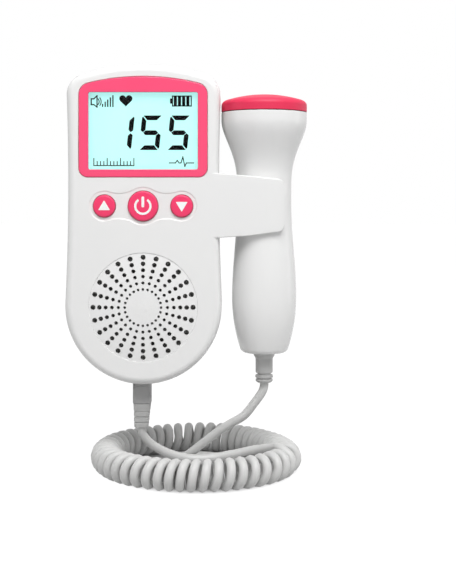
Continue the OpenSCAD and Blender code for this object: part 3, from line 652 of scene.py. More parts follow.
def curled_path(steps_per_turn=18):
    """The cord's centre line through its curls, round the ring from one end to the other."""
    turns = CURL_PLACES[-1][0]
    steps = round(turns * steps_per_turn)
    reach = CURL_R - CORD_D / 2
    found = []
    for i in range(steps + 1):
        turn = turns * i / steps
        place = between(CURL_PLACES, turn)
        angle = math.radians(place)
        wind = math.radians(CURL_WIND - 360 * turn)
        radius = between(RING_RADII, place) + reach * math.cos(wind)
        shift = (radius * math.cos(angle), radius * math.sin(angle), reach * math.sin(wind))
        found.append(RING_C + Vector(shift))
    return found


cord_path = smoothed(MONITOR_LEAD, 3) + curled_path() + list(reversed(smoothed(PROBE_LEAD, 3)))
cord_length = sum((b - a).length for a, b in zip(cord_path, cord_path[1:]))
cord = shaded(tube("curly_cord", cord_path, CORD_D / 2, 14), 60)
cord.data.materials.append(cord_pvc)
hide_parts("monitor_lead", "coiled_cord", "probe_lead")
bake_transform(cord)


# ---- Housing ----


def front_shell():
    """The front cover's skin: rounded face, inner face and the rim at the seam."""
    rim = SEAM_Y - SEAM_GAP
    outer = [(FACE_Y + d, i) for d, i in rounding(FRONT_ROUND, 8)]
    outer += [(rim - i, d) for d, i in rounding(SEAM_EDGE, 3)]
    inner = [(INNER_Y + d, WALL + i) for d, i in rounding(FRONT_ROUND - WALL, 4)] + [(rim, WALL)]
    return stacked("front_housing", housing_outline, outer + inner[::-1])


def arm_limits(x):
    """Lowest and highest point of the holder arm at a place across it."""
    end = PROBE_X + CRADLE_R * math.sin(math.radians(JAW_ANGLE)) - 0.3
    round_r = 2.8
    root, tip = ARM_H / 2, ARM_END_H / 2
    heights = []
    for sag in (0.9, 1.2):
        line = [(ARM_START - 9, root + 0.4), (ARM_START, root), ((ARM_START + end) / 2, root - sag)]
        line += [(end - 4, tip + 0.1), (end, tip)]
        height = tip
        for (x0, h0), (x1, h1) in zip(line, line[1:]):
            if x0 <= x <= x1:
                height = h0 + (h1 - h0) * (x - x0) / (x1 - x0)
        past = max(x - (end - round_r), 0)
        heights.append(height - round_r + math.sqrt(max(round_r**2 - min(past, round_r) ** 2, 0)))
    return ARM_Z - heights[0], ARM_Z + heights[1]


def probe_radius(z):
    """Radius of the probe's body at a height."""
    h = z - WAIST_Z
    if h > FLARE_H:
        return HEAD_R
    if h > FLARE_LOW:
        t = ((h - FLARE_LOW) / (FLARE_H - FLARE_LOW)) ** 1.5
        return WAIST_R + (HEAD_R - WAIST_R) * t * t * (3 - 2 * t)
    if h > 0:
        return WAIST_R
    if h > -BULGE_DROP:
        return WAIST_R + (BULGE_R - WAIST_R) * (1 - math.cos(math.pi * h / BULGE_DROP)) / 2
    return BULGE_R - (BULGE_R - FOOT_R) * ((-h - BULGE_DROP) / (GRIP_LEN - BULGE_DROP)) ** 2


def arm_section(z, inset):
    """The holder arm cut level: its front plate and the round cradle behind, drawn in by an inset."""
    centre = (PROBE_X, PROBE_Y)
    inner_r = probe_radius(z) + CLIP_GAP + inset
    outer_r = CRADLE_R - inset
    end = 270 + JAW_ANGLE
    trim = math.degrees(inset / CRADLE_R)
    back = FACE_Y + HOLDER_WALL - inset
    meet = 180 + math.degrees(math.asin((PROBE_Y - back) / outer_r))
    front_line = [(ARM_START + (PROBE_X - ARM_START) * k / 8, FACE_Y + inset) for k in range(8)]
    back_x = PROBE_X + outer_r * math.cos(math.radians(meet))
    back_line = [(back_x + (ARM_START - back_x) * k / 6, back) for k in range(1, 7)]
    return (
        front_line
        + arc(centre, outer_r, 270, end - trim, 12)
        + arc(centre, inner_r, end - trim, end - 180 + trim, 40)
        + arc(centre, outer_r, end - 180 + trim, meet, 24)
        + back_line
    )


def holder_arm():
    """The holder arm, with its ends rounded over."""
    edge = rounding(0.55, 3)
    levels = [(0, d, i) for d, i in edge] + [(k / 8, 0, 0) for k in range(1, 8)]
    levels += [(1, -d, i) for d, i in reversed(edge)]
    rings = []
    for share, shift, inset in levels:
        ring = []
        for x, y in arm_section(ARM_Z + (share - 0.5) * ARM_END_H, inset):
            low, high = arm_limits(x)
            ring.append((x, y, low + (high - low) * share + shift))
        rings.append(ring)
    arm = skin("holder_arm", rings)
    edited(arm.data, split_caps)
    return arm


housing = front_shell()
cut(housing, [holder_arm()], "UNION")
recess_steps = [(-1, 0.3), (0, 0.3), (0.06, 0.12), (0.24, -0.12), (0.3, -0.4)]
lens_room = framed(LENS_W + 0.3, LENS_H + 0.3, 1.5, WINDOW_Z)(0)
front_tools = [
    opening("bezel_pocket", lambda margin: bezel_outline(0.15 + margin), 0.3, FACE_Y, BEZEL_BACK),
    slab("lens_opening", lens_room, BEZEL_BACK - 0.5, INNER_Y + 1),
    round_opening("grille_opening", 0, GRILLE_Z, GRILLE_R, 0.15, FACE_Y, INNER_Y + 1, 128),
    stacked(
        "key_recess",
        lambda margin: moved(button_outline(RECESS_MARGIN + margin), BUTTON_Z),
        [(FACE_Y + depth, margin) for depth, margin in recess_steps],
    ),
    box(
        "plug_opening",
        (PLUG_X - PLUG_W / 2 - PLUG_GAP, PLUG_Y - PLUG_D / 2 - PLUG_GAP, -BODY_H / 2 - 2),
        (PLUG_X + PLUG_W / 2 + PLUG_GAP, PLUG_Y + PLUG_D / 2 + PLUG_GAP, -BODY_H / 2 + 5),
    ),
    turned(
        "jack_opening",
        [(0, -2), (4, -2), (3.5, 0.1), (3.25, 0.4), (3.2, 1), (3.2, 5), (0, 5)],
        (-TOP_HALF_W + 0.35, JACK_Y, JACK_Z),
        "x",
        48,
    ),
]
for x, radius in ((-BUTTON_PITCH, VOLUME_R), (0, POWER_R), (BUTTON_PITCH, VOLUME_R)):
    hole_r = radius + BUTTON_GAP
    front_tools.append(round_opening("key_opening", x, BUTTON_Z, hole_r, 0.3, FACE_Y, INNER_Y + 1))
cut(housing, front_tools)
boss_back = SEAM_Y - 0.1
boss = [(SCREW_R, BOSS_FRONT), (BOSS_R, BOSS_FRONT), (BOSS_R, boss_back), (SCREW_R, boss_back)]
inside = [turned("boss", boss, (x, 0, z), "y", 32) for x, z in SCREWS]
for z in (WAIST_Z - 9.4, WAIST_Z + 6):
    rib = box("rib", (TOP_HALF_W - WALL, FACE_Y + 1, z), (PROBE_X - CRADLE_R + 1, PROBE_Y + 2, z + 1.6))
    inside.append(softened(rib, 0.3))
finished(shaded(joined([housing] + inside)), "monitor", housing_abs, "housing", "front_cover")


def rear_shell():
    """The rear cover's skin, from the inner face round the seam to the flat rear."""
    outer = [(-d, i) for d, i in rounding(REAR_ROUND, 10)]
    outer += [(SEAM_Y + i, d) for d, i in rounding(SEAM_EDGE, 3)]
    inner = [(-WALL - d, WALL + i) for d, i in rounding(REAR_ROUND - WALL, 6)] + [(SEAM_Y, WALL)]
    return stacked("rear_housing", housing_outline, outer + inner[::-1])


def hinge_pin(name, radius, half_w):
    """A round bar along the door's hinge."""
    section = [(0, -half_w), (radius, -half_w), (radius, half_w), (0, half_w)]
    return turned(name, section, (0, HINGE_Y, HINGE_Z), "x", 32)


rear = rear_shell()
bay_low = (-BAY_HALF_W - BAY_WALL, BAY_FLOOR - BAY_WALL, -BAY_HALF_H - BAY_WALL)
bay_high = (BAY_HALF_W + BAY_WALL, -1.0, BAY_HALF_H + BAY_WALL)
cut(rear, [box("bay", bay_low, bay_high)], "UNION")
seat_half_w = DOOR_HALF_W + DOOR_GAP
ball = [(6 * math.sin(math.radians(a)), -6 * math.cos(math.radians(a))) for a in range(10, 171, 10)]
rear_tools = [
    box("cell_room", (-BAY_HALF_W, BAY_FLOOR, -BAY_HALF_H), (BAY_HALF_W, 1, BAY_HALF_H)),
    box("door_seat", (-seat_half_w, -DOOR_T - 0.1, HINGE_Z), (seat_half_w, 1, DOOR_TOP + DOOR_GAP)),
    hinge_pin("hinge_seat", DOOR_T / 2 + 0.25, seat_half_w),
    turned("finger_notch", [(0, -6)] + ball + [(0, 6)], (0, 3.6, DOOR_TOP + 0.5), "y", 64),
]
screw_recess = [(0, -SCREW_RECESS), (3.0, -SCREW_RECESS), (3.0, -0.3), (3.3, 0), (3.3, 1), (0, 1)]
rear_tools += [turned("screw_recess", screw_recess, (x, 0, z), "y", 48) for x, z in SCREWS]
cut(rear, rear_tools)
lip = [(SEAM_Y - 1.6, 2.12), (SEAM_Y + 0.8, 2.12), (SEAM_Y + 0.8, 3.12), (SEAM_Y - 1.6, 3.12)]
inner_lip = stacked("lip", housing_outline, lip, closed=True)
finished(shaded(joined([rear, inner_lip])), "monitor", housing_abs, "housing", "rear_cover")


# ---- Bezel, lens and what the display shows ----

bezel_levels = [(FACE_Y - BEZEL_PROUD + d, -i) for d, i in rounding(0.45, 5)] + [(BEZEL_BACK, 0)]
bezel = stacked("display_bezel_ring", bezel_outline, bezel_levels)
window = framed(WINDOW_W, WINDOW_H, 0.7, WINDOW_Z)
cut(bezel, [opening("window_cut", window, 0.3, FACE_Y - BEZEL_PROUD, BEZEL_BACK + 1)])
finished(shaded(bezel), "monitor", bezel_acrylic, "bezel", "display_bezel")

lens_steps = [(0, -0.12), (0.12, 0), (LENS_T - 0.12, 0), (LENS_T, -0.12)]
lens_levels = [(BEZEL_BACK + depth, margin) for depth, margin in lens_steps]
lens = stacked("clear_lens", framed(LENS_W, LENS_H, 1.4, WINDOW_Z), lens_levels)
finished(shaded(lens), "monitor", lens_acrylic, "lens", "display_lens")

SLANT = math.tan(math.radians(6.3))
DIGIT_W, DIGIT_H = 8.7, 14.7


def digit(bars, left, low):
    """Seven-bar digit: the polygons of the bars that are lit, slanted to the right."""
    wide, high, middle = DIGIT_W, DIGIT_H, DIGIT_H / 2
    level = [(0.5, 0.0), (wide - 0.5, 0.0), (wide - 2.3, 2.0), (2.3, 2.0)]
    upright = [(0.0, 1.0), (0.4, 0.45), (2.0, 2.2)]
    upright += [(2.0, middle - 1.2), (1.0, middle - 0.2), (0.0, middle - 1.0)]
    shapes = {
        "low": level,
        "top": [(x, high - z) for x, z in level],
        "middle": [
            (1.15, middle), (2.15, middle + 1.0), (wide - 2.15, middle + 1.0), (wide - 1.15, middle),
            (wide - 2.15, middle - 1.0), (2.15, middle - 1.0),
        ],
        "low_left": upright,
        "low_right": [(wide - x, z) for x, z in upright],
        "top_left": [(x, high - z) for x, z in upright],
        "top_right": [(wide - x, high - z) for x, z in upright],
    }
    return [[(left + x + z * SLANT, low + z) for x, z in shapes[lit]] for lit in bars]


def heart(x, z, size):
    """Heart shape about a point, from its usual curve."""
    found = []
    for k in range(48):
        t = 2 * math.pi * k / 48
        across = 16 * math.sin(t) ** 3
        up = 13 * math.cos(t) - 5 * math.cos(2 * t) - 2 * math.cos(3 * t) - math.cos(4 * t)
        found.append((x + size * across / 32, z + size * (up + 2.5) / 32))
    return found


def stroke_arc(x, z, radius, width, start, end):
    """A band along an arc, as one closed polygon."""
    outer = arc((x, z), radius + width / 2, start, end, 14)
    return outer + arc((x, z), radius - width / 2, end, start, 14)


def drawn_line(points, width):
    """A line of even width through points, as one polygon for each straight run."""
    found = []
    for start, end in zip(points, points[1:]):
        start, end = Vector(start), Vector(end)
        along = (end - start).normalized() * width / 2
        side = Vector((along.y, -along.x))
        found.append([start - along + side, end + along + side, end + along - side, start - along - side])
    return found


def outlined(points, width):
    """A closed line of even width."""
    return drawn_line(points + points[:1], width)


def bar(x0, z0, x1, z1):
    """Upright rectangle."""
    return [(x0, z0), (x1, z0), (x1, z1), (x0, z1)]


FIVE = ("top", "top_left", "middle", "low_right", "low")
symbols = []
symbols += digit(("top_right", "low_right"), -14.0, 31.6)
symbols += digit(FIVE, -2.1, 31.6)
symbols += digit(FIVE, 9.85, 31.6)
symbols.append(heart(-7.5, 52.4, 5.6))
# Loudspeaker sign as a drawn line, and two sound waves
horn = [(-22.2, 50.9), (-21.1, 50.9), (-19.75, 49.9), (-19.75, 54.7), (-21.1, 53.4), (-22.2, 53.4)]
symbols += outlined(horn, 0.5)
symbols += [stroke_arc(-20.6, 52.2, 1.75, 0.42, -48, 48), stroke_arc(-20.6, 52.2, 2.6, 0.42, -42, 42)]
# Volume steps
symbols += [bar(-17.65 + 1.1 * k, 49.9, -17.1 + 1.1 * k, 51.3 + 0.9 * k) for k in range(5)]
# Battery sign with four full bars
symbols += [bar(11.3, 51.4, 12.1, 53.5), bar(12.1, 50.1, 20.6, 50.6), bar(12.1, 54.3, 20.6, 54.8)]
symbols += [bar(12.1, 50.1, 12.6, 54.8), bar(20.1, 50.1, 20.6, 54.8)]
symbols += [bar(12.9 + 1.78 * k, 50.6, 14.25 + 1.78 * k, 54.3) for k in range(4)]
# Plain scale at the low left and a pulse trace at the low right, where the display has its small signs
symbols += [bar(-21.3 + 1.42 * k, 25.2, -20.9 + 1.42 * k, 28.2 if k % 4 == 0 else 26.9) for k in range(13)]
symbols += [bar(-21.3, 24.8, -3.86, 25.2)]
PULSE = [
    (11.0, 26.1), (13.6, 26.1), (14.4, 27.2), (15.2, 26.1), (16.0, 26.1), (16.8, 28.7), (17.6, 24.6),
    (18.3, 26.1), (21.4, 26.1),
]
symbols += drawn_line(PULSE, 0.42)
shown = [slab("sign", outline, LCD_Y - 0.06, LCD_Y - 0.005) for outline in symbols]
finished(joined(shown, "display_signs"), "monitor", lcd_ink, "lcd")


# ---- Keys ----


def key(name, x, radius, node, body, signs):
    """A round key with a softly domed face and its white sign."""
    front = FACE_Y - BUTTON_PROUD
    edge = 0.7
    back = FLANGE_Y + FLANGE_T
    section = [(0, back), (radius + FLANGE_R, back), (radius + FLANGE_R, FLANGE_Y), (radius, FLANGE_Y)]
    section += [(radius - i, front + d) for d, i in reversed(rounding(edge, 6))]
    section += [((radius - edge) * k / 4, front + 0.12 * (k / 4) ** 2 - 0.12) for k in (3, 2, 1, 0)]
    piece = shaded(turned(name, section, (x, 0, BUTTON_Z), "y", 96), 35)
    finished(piece, body, key_abs, "button", node)
    marks = []
    for sign in signs:
        marks.append(slab("mark", [(x + u, BUTTON_Z + v) for u, v in sign], front - 0.16, front + 0.3))
    finished(joined(marks, name + "_sign"), body, key_ink, "button")


def triangle(half, low, high):
    """Triangle with slightly rounded corners."""
    r = 0.25
    side = math.degrees(math.atan2(high - low, half))
    return (
        arc((half - 1.6 * r, low + r), r, -90, 90 - side / 2 + 10, 4)
        + arc((0, high - 2.0 * r), r, 30, 150, 4)
        + arc((1.6 * r - half, low + r), r, 90 + side / 2 - 10, 270, 4)
    )


up_sign = triangle(2.55, -1.75, 2.5)
down_sign = [(u, -v) for u, v in up_sign]
ring_sign = stroke_arc(0, -0.05, 3.25, 0.95, 125, 415)
bar_sign = rounded_box(1.15, 4.6, 0.5, 4)
key("volume_up_key", -BUTTON_PITCH, VOLUME_R, "volume_up_button", "volume_up_key", [up_sign])
key("power_key", 0, POWER_R, "power_button", "power_key", [ring_sign, [(u, v + 1.75) for u, v in bar_sign]])
key("volume_down_key", BUTTON_PITCH, VOLUME_R, "volume_down_button", "volume_down_key", [down_sign])


# ---- Speaker grille, with its rows of holes ----


def node_tree(name, inputs):
    """A geometry tree with a geometry input and output and named sizes."""
    tree = bpy.data.node_groups.new(name, "GeometryNodeTree")
    tree.interface.new_socket(name="Geometry", in_out="INPUT", socket_type="NodeSocketGeometry")
    tree.interface.new_socket(name="Geometry", in_out="OUTPUT", socket_type="NodeSocketGeometry")
    for label, kind in inputs.items():
        tree.interface.new_socket(name=label, in_out="INPUT", socket_type="NodeSocket" + kind)
    return tree, put(tree, "NodeGroupInput").outputs


def copies_at(tree, points, shape, **turn_and_size):
    """Copies of a shape at points."""
    inputs = {"Points": points, "Instance": shape, **turn_and_size}
    return put(tree, "GeometryNodeInstanceOnPoints", inputs).outputs["Instances"]


def end_tree(tree, shapes, finish):
    """Ends a tree: copies become real mesh, and all of it gets its finish."""
    real = put(tree, "GeometryNodeRealizeInstances", {"Geometry": shapes}).outputs[0]
    coated = put(tree, "GeometryNodeSetMaterial", {"Geometry": real, "Material": finish}).outputs[0]
    put(tree, "NodeGroupOutput", {"Geometry": coated})
    return tree


def run_tree(piece, tree, values):
    """Runs a geometry tree on a piece with its named sizes, and keeps the result as plain mesh."""
    change = piece.modifiers.new(tree.name, "NODES")
    change.node_group = tree
    for item in tree.interface.items_tree:
        if item.in_out == "INPUT" and item.name in values:
            change[item.identifier] = values[item.name]
    return settle(piece)


def compute(tree, operation, *values):
    """One step of arithmetic on values or sockets."""
    return put(tree, "ShaderNodeMath", dict(enumerate(values)), operation=operation).outputs[0]


def compute_vector(tree, operation, *values):
    """One step of arithmetic on vectors."""
    return put(tree, "ShaderNodeVectorMath", dict(enumerate(values)), operation=operation).outputs


def hole_rows_tree():
    """Rows of round holes about an axis along Y; the holes grow outwards along each row."""
    sizes = {label: "Float" for label in ("First at", "Step", "First radius", "Growth", "Depth")}
    inputs = {"Rows": "Int", "Holes": "Int", **sizes, "Middle": "Vector", "Finish": "Material"}
    tree, given = node_tree("hole_rows", inputs)
    count = compute(tree, "MULTIPLY", given["Rows"], given["Holes"])
    points = put(tree, "GeometryNodeMeshLine", {"Count": count})
    index = put(tree, "GeometryNodeInputIndex").outputs[0]
    row = compute(tree, "FLOOR", compute(tree, "DIVIDE", index, given["Holes"]))
    place = compute(tree, "SUBTRACT", index, compute(tree, "MULTIPLY", row, given["Holes"]))
    reach = compute(tree, "MULTIPLY_ADD", place, given["Step"], given["First at"])
    radius = compute(tree, "MULTIPLY_ADD", place, given["Growth"], given["First radius"])
    angle = compute(tree, "MULTIPLY", compute(tree, "DIVIDE", row, given["Rows"]), 2 * math.pi)
    across = compute(tree, "MULTIPLY", reach, compute(tree, "SINE", angle))
    up = compute(tree, "MULTIPLY", reach, compute(tree, "COSINE", angle))
    offset = put(tree, "ShaderNodeCombineXYZ", {"X": across, "Z": up}).outputs[0]
    at = compute_vector(tree, "ADD", offset, given["Middle"])[0]
    placed = put(tree, "GeometryNodeSetPosition", {"Geometry": points.outputs["Mesh"], "Position": at})
    drill = put(tree, "GeometryNodeMeshCylinder", {"Vertices": 20, "Radius": 1.0, "Depth": given["Depth"]})
    size = put(tree, "ShaderNodeCombineXYZ", {"X": radius, "Y": radius, "Z": 1.0}).outputs[0]
    across_y = {"Rotation": (math.pi / 2, 0, 0), "Scale": size}
    drills = copies_at(tree, placed.outputs["Geometry"], drill.outputs["Mesh"], **across_y)
    real = put(tree, "GeometryNodeRealizeInstances", {"Geometry": drills}).outputs["Geometry"]
    solids = {"Mesh 1": given["Geometry"], "Mesh 2": real}
    holed = put(tree, "GeometryNodeMeshBoolean", solids, operation="DIFFERENCE", solver="EXACT")
    return end_tree(tree, holed.outputs["Mesh"], given["Finish"])


grille_rim = GRILLE_R - 0.02
dome = []
for k in range(16):
    along = k / 15
    dome.append((grille_rim * along, GRILLE_Y - DOME_RISE * (1 - along**1.7) * (1 + 0.25 * along**4)))
plate_section = [
    (0, INNER_Y), (GRILLE_R - 0.6, INNER_Y), (GRILLE_R - 0.6, GRILLE_BACK), (GRILLE_FLANGE_R, GRILLE_BACK),
    (GRILLE_FLANGE_R, INNER_Y), (grille_rim, INNER_Y),
]
grille = turned("perforated_grille", plate_section + dome[::-1], (0, 0, GRILLE_Z), "y", 96)
hole_sizes = {"First at": 7.7, "Step": 2.7, "First radius": 0.57, "Growth": 0.105, "Depth": 12}
hole_values = {label: size * MM for label, size in hole_sizes.items()}
hole_values["Middle"] = (0, INNER_Y * MM, GRILLE_Z * MM)
hole_values.update({"Rows": 24, "Holes": 6, "Finish": housing_abs})
run_tree(grille, hole_rows_tree(), hole_values)
finished(shaded(grille), "monitor", housing_abs, "housing", "speaker_grille")


# ---- Battery door, screws and springs ----


def copies_tree():
    """Copies of the given mesh along a line, or at one place where the count is one."""
    inputs = {"Count": "Int", "Start": "Vector", "Offset": "Vector", "Finish": "Material"}
    tree, given = node_tree("copies", inputs)
    ends = {"Count": given["Count"], "Start Location": given["Start"], "Offset": given["Offset"]}
    line = put(tree, "GeometryNodeMeshLine", ends).outputs["Mesh"]
    return end_tree(tree, copies_at(tree, line, given["Geometry"]), given["Finish"])


copies = copies_tree()


def copied(piece, count, start, offset, finish):
    """Copies of a small mesh along a line."""
    values = {"Start": [c * MM for c in start], "Offset": [c * MM for c in offset]}
    return run_tree(piece, copies, {**values, "Count": count, "Finish": finish})


door_levels = [(-d, -i) for d, i in rounding(0.35, 3)] + [(-DOOR_T, 0)]
door_half_h = (DOOR_TOP - HINGE_Z) / 2
door = stacked("bay_door", framed(2 * DOOR_HALF_W, 2 * door_half_h, 0.6), door_levels)
ridge = box("ridges", (-8, -0.45, 0), (8, 1, 0.8))
copied(ridge, 5, (0, 0, DOOR_TOP - 13), (0, 0, 2), housing_abs)
cut(door, [ridge])
barrel = hinge_pin("barrel", DOOR_T / 2, DOOR_HALF_W)
finished(shaded(joined([door, barrel])), "door", housing_abs, "housing", "battery_door")


def screw_head(radius, height):
    """Cheese head with a cross recess, its top at the origin and looking along Y."""
    section = [(0, -height), (radius, -height)] + [(radius - i, -d) for d, i in reversed(rounding(0.45, 4))]
    head = turned("screw_head", section + [(0, 0)], (0, 0, 0), "y", 32)
    slots = [
        box("slot", (-radius * 0.55, -0.9, -0.32), (radius * 0.55, 1, 0.32)),
        box("slot", (-0.32, -0.9, -radius * 0.55), (0.32, 1, radius * 0.55)),
    ]
    return cut(head, slots)


head_r, head_h = 2.6, 1.8
screws = []
for (x0, z0), (x1, z1) in (SCREWS[:2], SCREWS[2:]):
    first = (x0, head_h - SCREW_RECESS, z0)
    screws.append(copied(screw_head(head_r, head_h), 2, first, (x1 - x0, 0, z1 - z0), nickel))
shaft = [(0, -21.5), (SCREW_R, -21.2), (SCREW_R, -SCREW_RECESS), (0, -SCREW_RECESS)]
screws += [turned("shaft", shaft, (x, 0, z), "y", 24) for x, z in SCREWS]
finished(shaded(joined(screws, "case_screw_heads")), "monitor", nickel, "metal", "case_screws")


def spring_tree():
    """A coil spring of round wire that narrows along Z."""
    sizes = {label: "Float" for label in ("Coils", "Wide", "Narrow", "Height", "Wire")}
    tree, given = node_tree("cell_spring", {**sizes, "Finish": "Material"})
    radii = {"Start Radius": given["Wide"], "End Radius": given["Narrow"]}
    coils = {"Resolution": 40, "Rotations": given["Coils"], **radii, "Height": given["Height"]}
    spiral = put(tree, "GeometryNodeCurveSpiral", coils).outputs["Curve"]
    wire = put(tree, "GeometryNodeCurvePrimitiveCircle", {"Resolution": 10, "Radius": given["Wire"]})
    swept = {"Curve": spiral, "Profile Curve": wire.outputs["Curve"], "Fill Caps": True}
    made = put(tree, "GeometryNodeCurveToMesh", swept).outputs["Mesh"]
    return end_tree(tree, copies_at(tree, given["Geometry"], made), given["Finish"])


SPRING_ROOM = BAY_HALF_H - 0.4 - CELL_HALF
spring_values = {"Coils": 3.0, "Wide": 5 * MM, "Narrow": 3 * MM, "Wire": 0.3 * MM, "Finish": nickel}
springs = []
springs_made = spring_tree()
for side in (-1, 1):
    point = bpy.data.meshes.new("spring_seat")
    point.from_pydata([(side * CELL_X * MM, CELL_Y * MM, -side * (BAY_HALF_H - 0.7) * MM)], [], [])
    spring_values["Height"] = side * (SPRING_ROOM - 0.6) * MM
    springs.append(run_tree(in_scene("spring", point), springs_made, spring_values))
cell_springs = joined(springs, "cell_springs")
edited(cell_springs.data, face_outwards)
finished(shaded(cell_springs, 60), "monitor", nickel, "metal", "battery_springs")


# ---- Probe ----


def probe_body():
    """The probe's shell: a fine profile with the wall turned inside, rounded at its foot."""
    edge, bore = 1.7, 4.35
    section = [(bore, FOOT_Z), (probe_radius(FOOT_Z) - edge, FOOT_Z)]
    for k in range(1, 10):
        rise = edge * (1 - math.cos(math.pi / 2 * k / 10))
        out = math.sqrt(edge**2 - (edge - rise) ** 2)
        section.append((probe_radius(FOOT_Z + rise) - edge + out, FOOT_Z + rise))
    low, steps = FOOT_Z + edge, 90
    side = [low + (SHELL_TOP - 0.25 - low) * k / steps for k in range(steps + 1)]
    section += [(probe_radius(z), z) for z in side]
    section += [(HEAD_R - 0.08, SHELL_TOP - 0.08), (HEAD_R - 0.25, SHELL_TOP)]
    heights = [SHELL_TOP - (SHELL_TOP - FOOT_Z - 4) * k / 40 for k in range(41)]
    section += [(probe_radius(z) - PROBE_WALL, z) for z in heights]
    section += [(FOOT_R - 4, FOOT_Z + PROBE_WALL), (bore, FOOT_Z + PROBE_WALL)]
    return turned("probe_body", section, (PROBE_X, PROBE_Y, 0), "z", 128)


finished(shaded(probe_body(), 35), "probe", housing_abs, "housing", "probe_shell")


def probe_face():
    """The pink cap: a low dome with a rounded shoulder over a short upright side."""
    crown = CAP_LOW + CAP_H
    dome_r, shoulder = 55.0, 2.6
    reach = HEAD_R - shoulder
    dome = [(reach * k / 10, crown - (reach * k / 10) ** 2 / (2 * dome_r)) for k in range(11)]
    top = dome[-1][1]
    lean = math.degrees(math.asin(reach / dome_r))
    drop = shoulder * math.cos(math.radians(lean))
    start = math.radians(90 - lean)
    turn = []
    for k in range(1, 9):
        a = start * (1 - k / 8)
        out = shoulder * (math.cos(a) - math.cos(start)) / (1 - math.cos(start))
        turn.append((reach + out, top - drop * (1 - math.sin(a) / math.sin(start))))
    seat = HEAD_R - PROBE_WALL - 0.1
    inner = HEAD_R - 2 * PROBE_WALL
    side = [(HEAD_R, CAP_LOW + 0.2), (HEAD_R - 0.2, CAP_LOW), (seat, CAP_LOW), (seat, CAP_LOW - 2.4)]
    under = [(inner, CAP_LOW - 2.4), (inner, crown - 5.2), (0, crown - PROBE_WALL)]
    return turned("probe_face", dome + turn + side + under, (PROBE_X, PROBE_Y, 0), "z", 128)


finished(shaded(probe_face(), 35), "probe", cap_abs, "cap", "probe_cap")


def strain_relief():
    """The grey sleeve at the probe's foot, with a flare, a block and two rings."""
    flange = PROBE_WALL + 0.05
    levels = [
        (0, PROBE_WALL + 1.4), (5.6, PROBE_WALL + 1.4), (5.6, flange), (4.2, flange),
        (4.2, -0.02), (4.75, -0.05), (4.72, -0.7), (4.5, -1.4), (4.1, -2.0), (3.85, -2.4),
        (RELIEF_R, -2.8), (RELIEF_R, -8.6), (3.6, -8.85), (3.0, -9.1), (2.9, -9.4), (3.0, -9.7),
        (3.7, -9.85), (3.88, -10.0), (3.88, -10.8), (3.75, -11.0), (3.15, -11.2), (3.15, -11.5),
        (3.7, -11.7), (3.78, -12.0), (3.65, -12.5), (3.1, -13.0), (2.7, -RELIEF_LEN), (0, -RELIEF_LEN),
    ]
    return turned("probe_sleeve", levels, (PROBE_X, PROBE_Y, FOOT_Z), "z", 64)


finished(shaded(strain_relief(), 40), "probe", sleeve_pvc, "plug_plastic", "probe_strain_relief")


# ---- Plug and its boot ----


def plug_body():
    """The plug: a rounded block with a shallow step and two small pits of its latch at the left."""
    rings = []
    for d, i in rounding(0.5, 3) + [(PLUG_LEN, 0)]:
        ring = rounded_box(PLUG_W - 2 * i, PLUG_D - 2 * i, 0.9)
        rings.append([(PLUG_X + x, PLUG_Y + y, PLUG_LOW + d) for x, y in ring])
    body = skin("plug_body", rings)
    front = PLUG_Y - PLUG_D / 2
    mouth = -BODY_H / 2
    left, right = PLUG_X - PLUG_W / 2, PLUG_X + PLUG_W / 2
    hollows = [box("step", (left + 0.9, front - 1, mouth - 1.9), (right - 1.6, front + 0.35, mouth + 1))]
    for drop in (1.5, 2.9):
        low, high = mouth - drop, mouth - drop + 0.8
        hollows.append(box("pit", (left + 0.35, front - 1, low), (left + 1.0, front + 0.6, high)))
    return cut(body, hollows)


plug = finished(shaded(plug_body(), 35), "monitor", plug_pvc, "plug_plastic", "cord_plug")


def boot():
    """The tapered boot: a smooth collar, then three grooves with bands between them."""
    profile = [(0.0, 1.0), (0.3, 1.03), (2.5, 0.985), (3.0, 0.965)]
    for start, end, depth in ((3.2, 3.55, 0.88), (5.5, 5.95, 0.8), (7.75, 8.2, 0.78)):
        fade = 1.0 - 0.016 * start
        profile += [(start, depth), (end, depth), (end + 0.15, fade - 0.005), (end + 1.75, fade - 0.02)]
    profile[-1] = (BOOT_LEN - 0.25, 0.83)
    profile += [(BOOT_LEN, 0.78)]
    rings = []
    for drop, s in profile:
        centre_x, level = PLUG_X - 0.04 * drop, PLUG_LOW - drop
        rings.append([(centre_x + x * s, PLUG_Y + y * s, level) for x, y in rounded_box(7.3, 6.4, 1.8)])
    return skin("plug_sleeve", rings)


plug_sleeve = finished(shaded(boot(), 40), "monitor", sleeve_pvc, "plug_plastic", "plug_boot")

tuple(c * MM for c in MONITOR_LEAD[0])
[tuple(c * MM for c in p) for p in cord_path]


# ---- Inner pieces, which keep the shape of their solids ----

KEPT = (
    (gasket_foam, ("display_gasket", "probe_seal")),
    (lcd_film, ("lcd_panel",)),
    (frosted_abs, ("lcd_backlight", "lcd_holder")),
    (board_mask, ("main_board", "probe_board")),
    (nickel, ("tact_switches", "board_screws", "speaker_magnet", "battery_contacts")),
    (cone_paper, ("speaker_gasket", "speaker_frame", "speaker_cone")),
    (cell_wrap, ("batteries",)),
    (dark_abs, ("headphone_jack", "probe_socket", "transducer_backing")),
    (crystal_ceramic, ("probe_transducers",)),
)
for finish, names in KEPT:
    for node in names:
        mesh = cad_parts[node].data
        mesh.materials.clear()
        mesh.materials.append(finish)


# ---- Floor and studio light ----


def lamp(name, at, aim, width, height, power):
    """A soft box that looks at a point."""
    light = bpy.data.lights.new(name, "AREA")
    light.shape = "RECTANGLE"
    light.size, light.size_y, light.energy = width, height, power
    holder = in_scene(name, light)
    holder.location = at
    holder.rotation_euler = (Vector(aim) - Vector(at)).to_track_quat("-Z", "Y").to_euler()


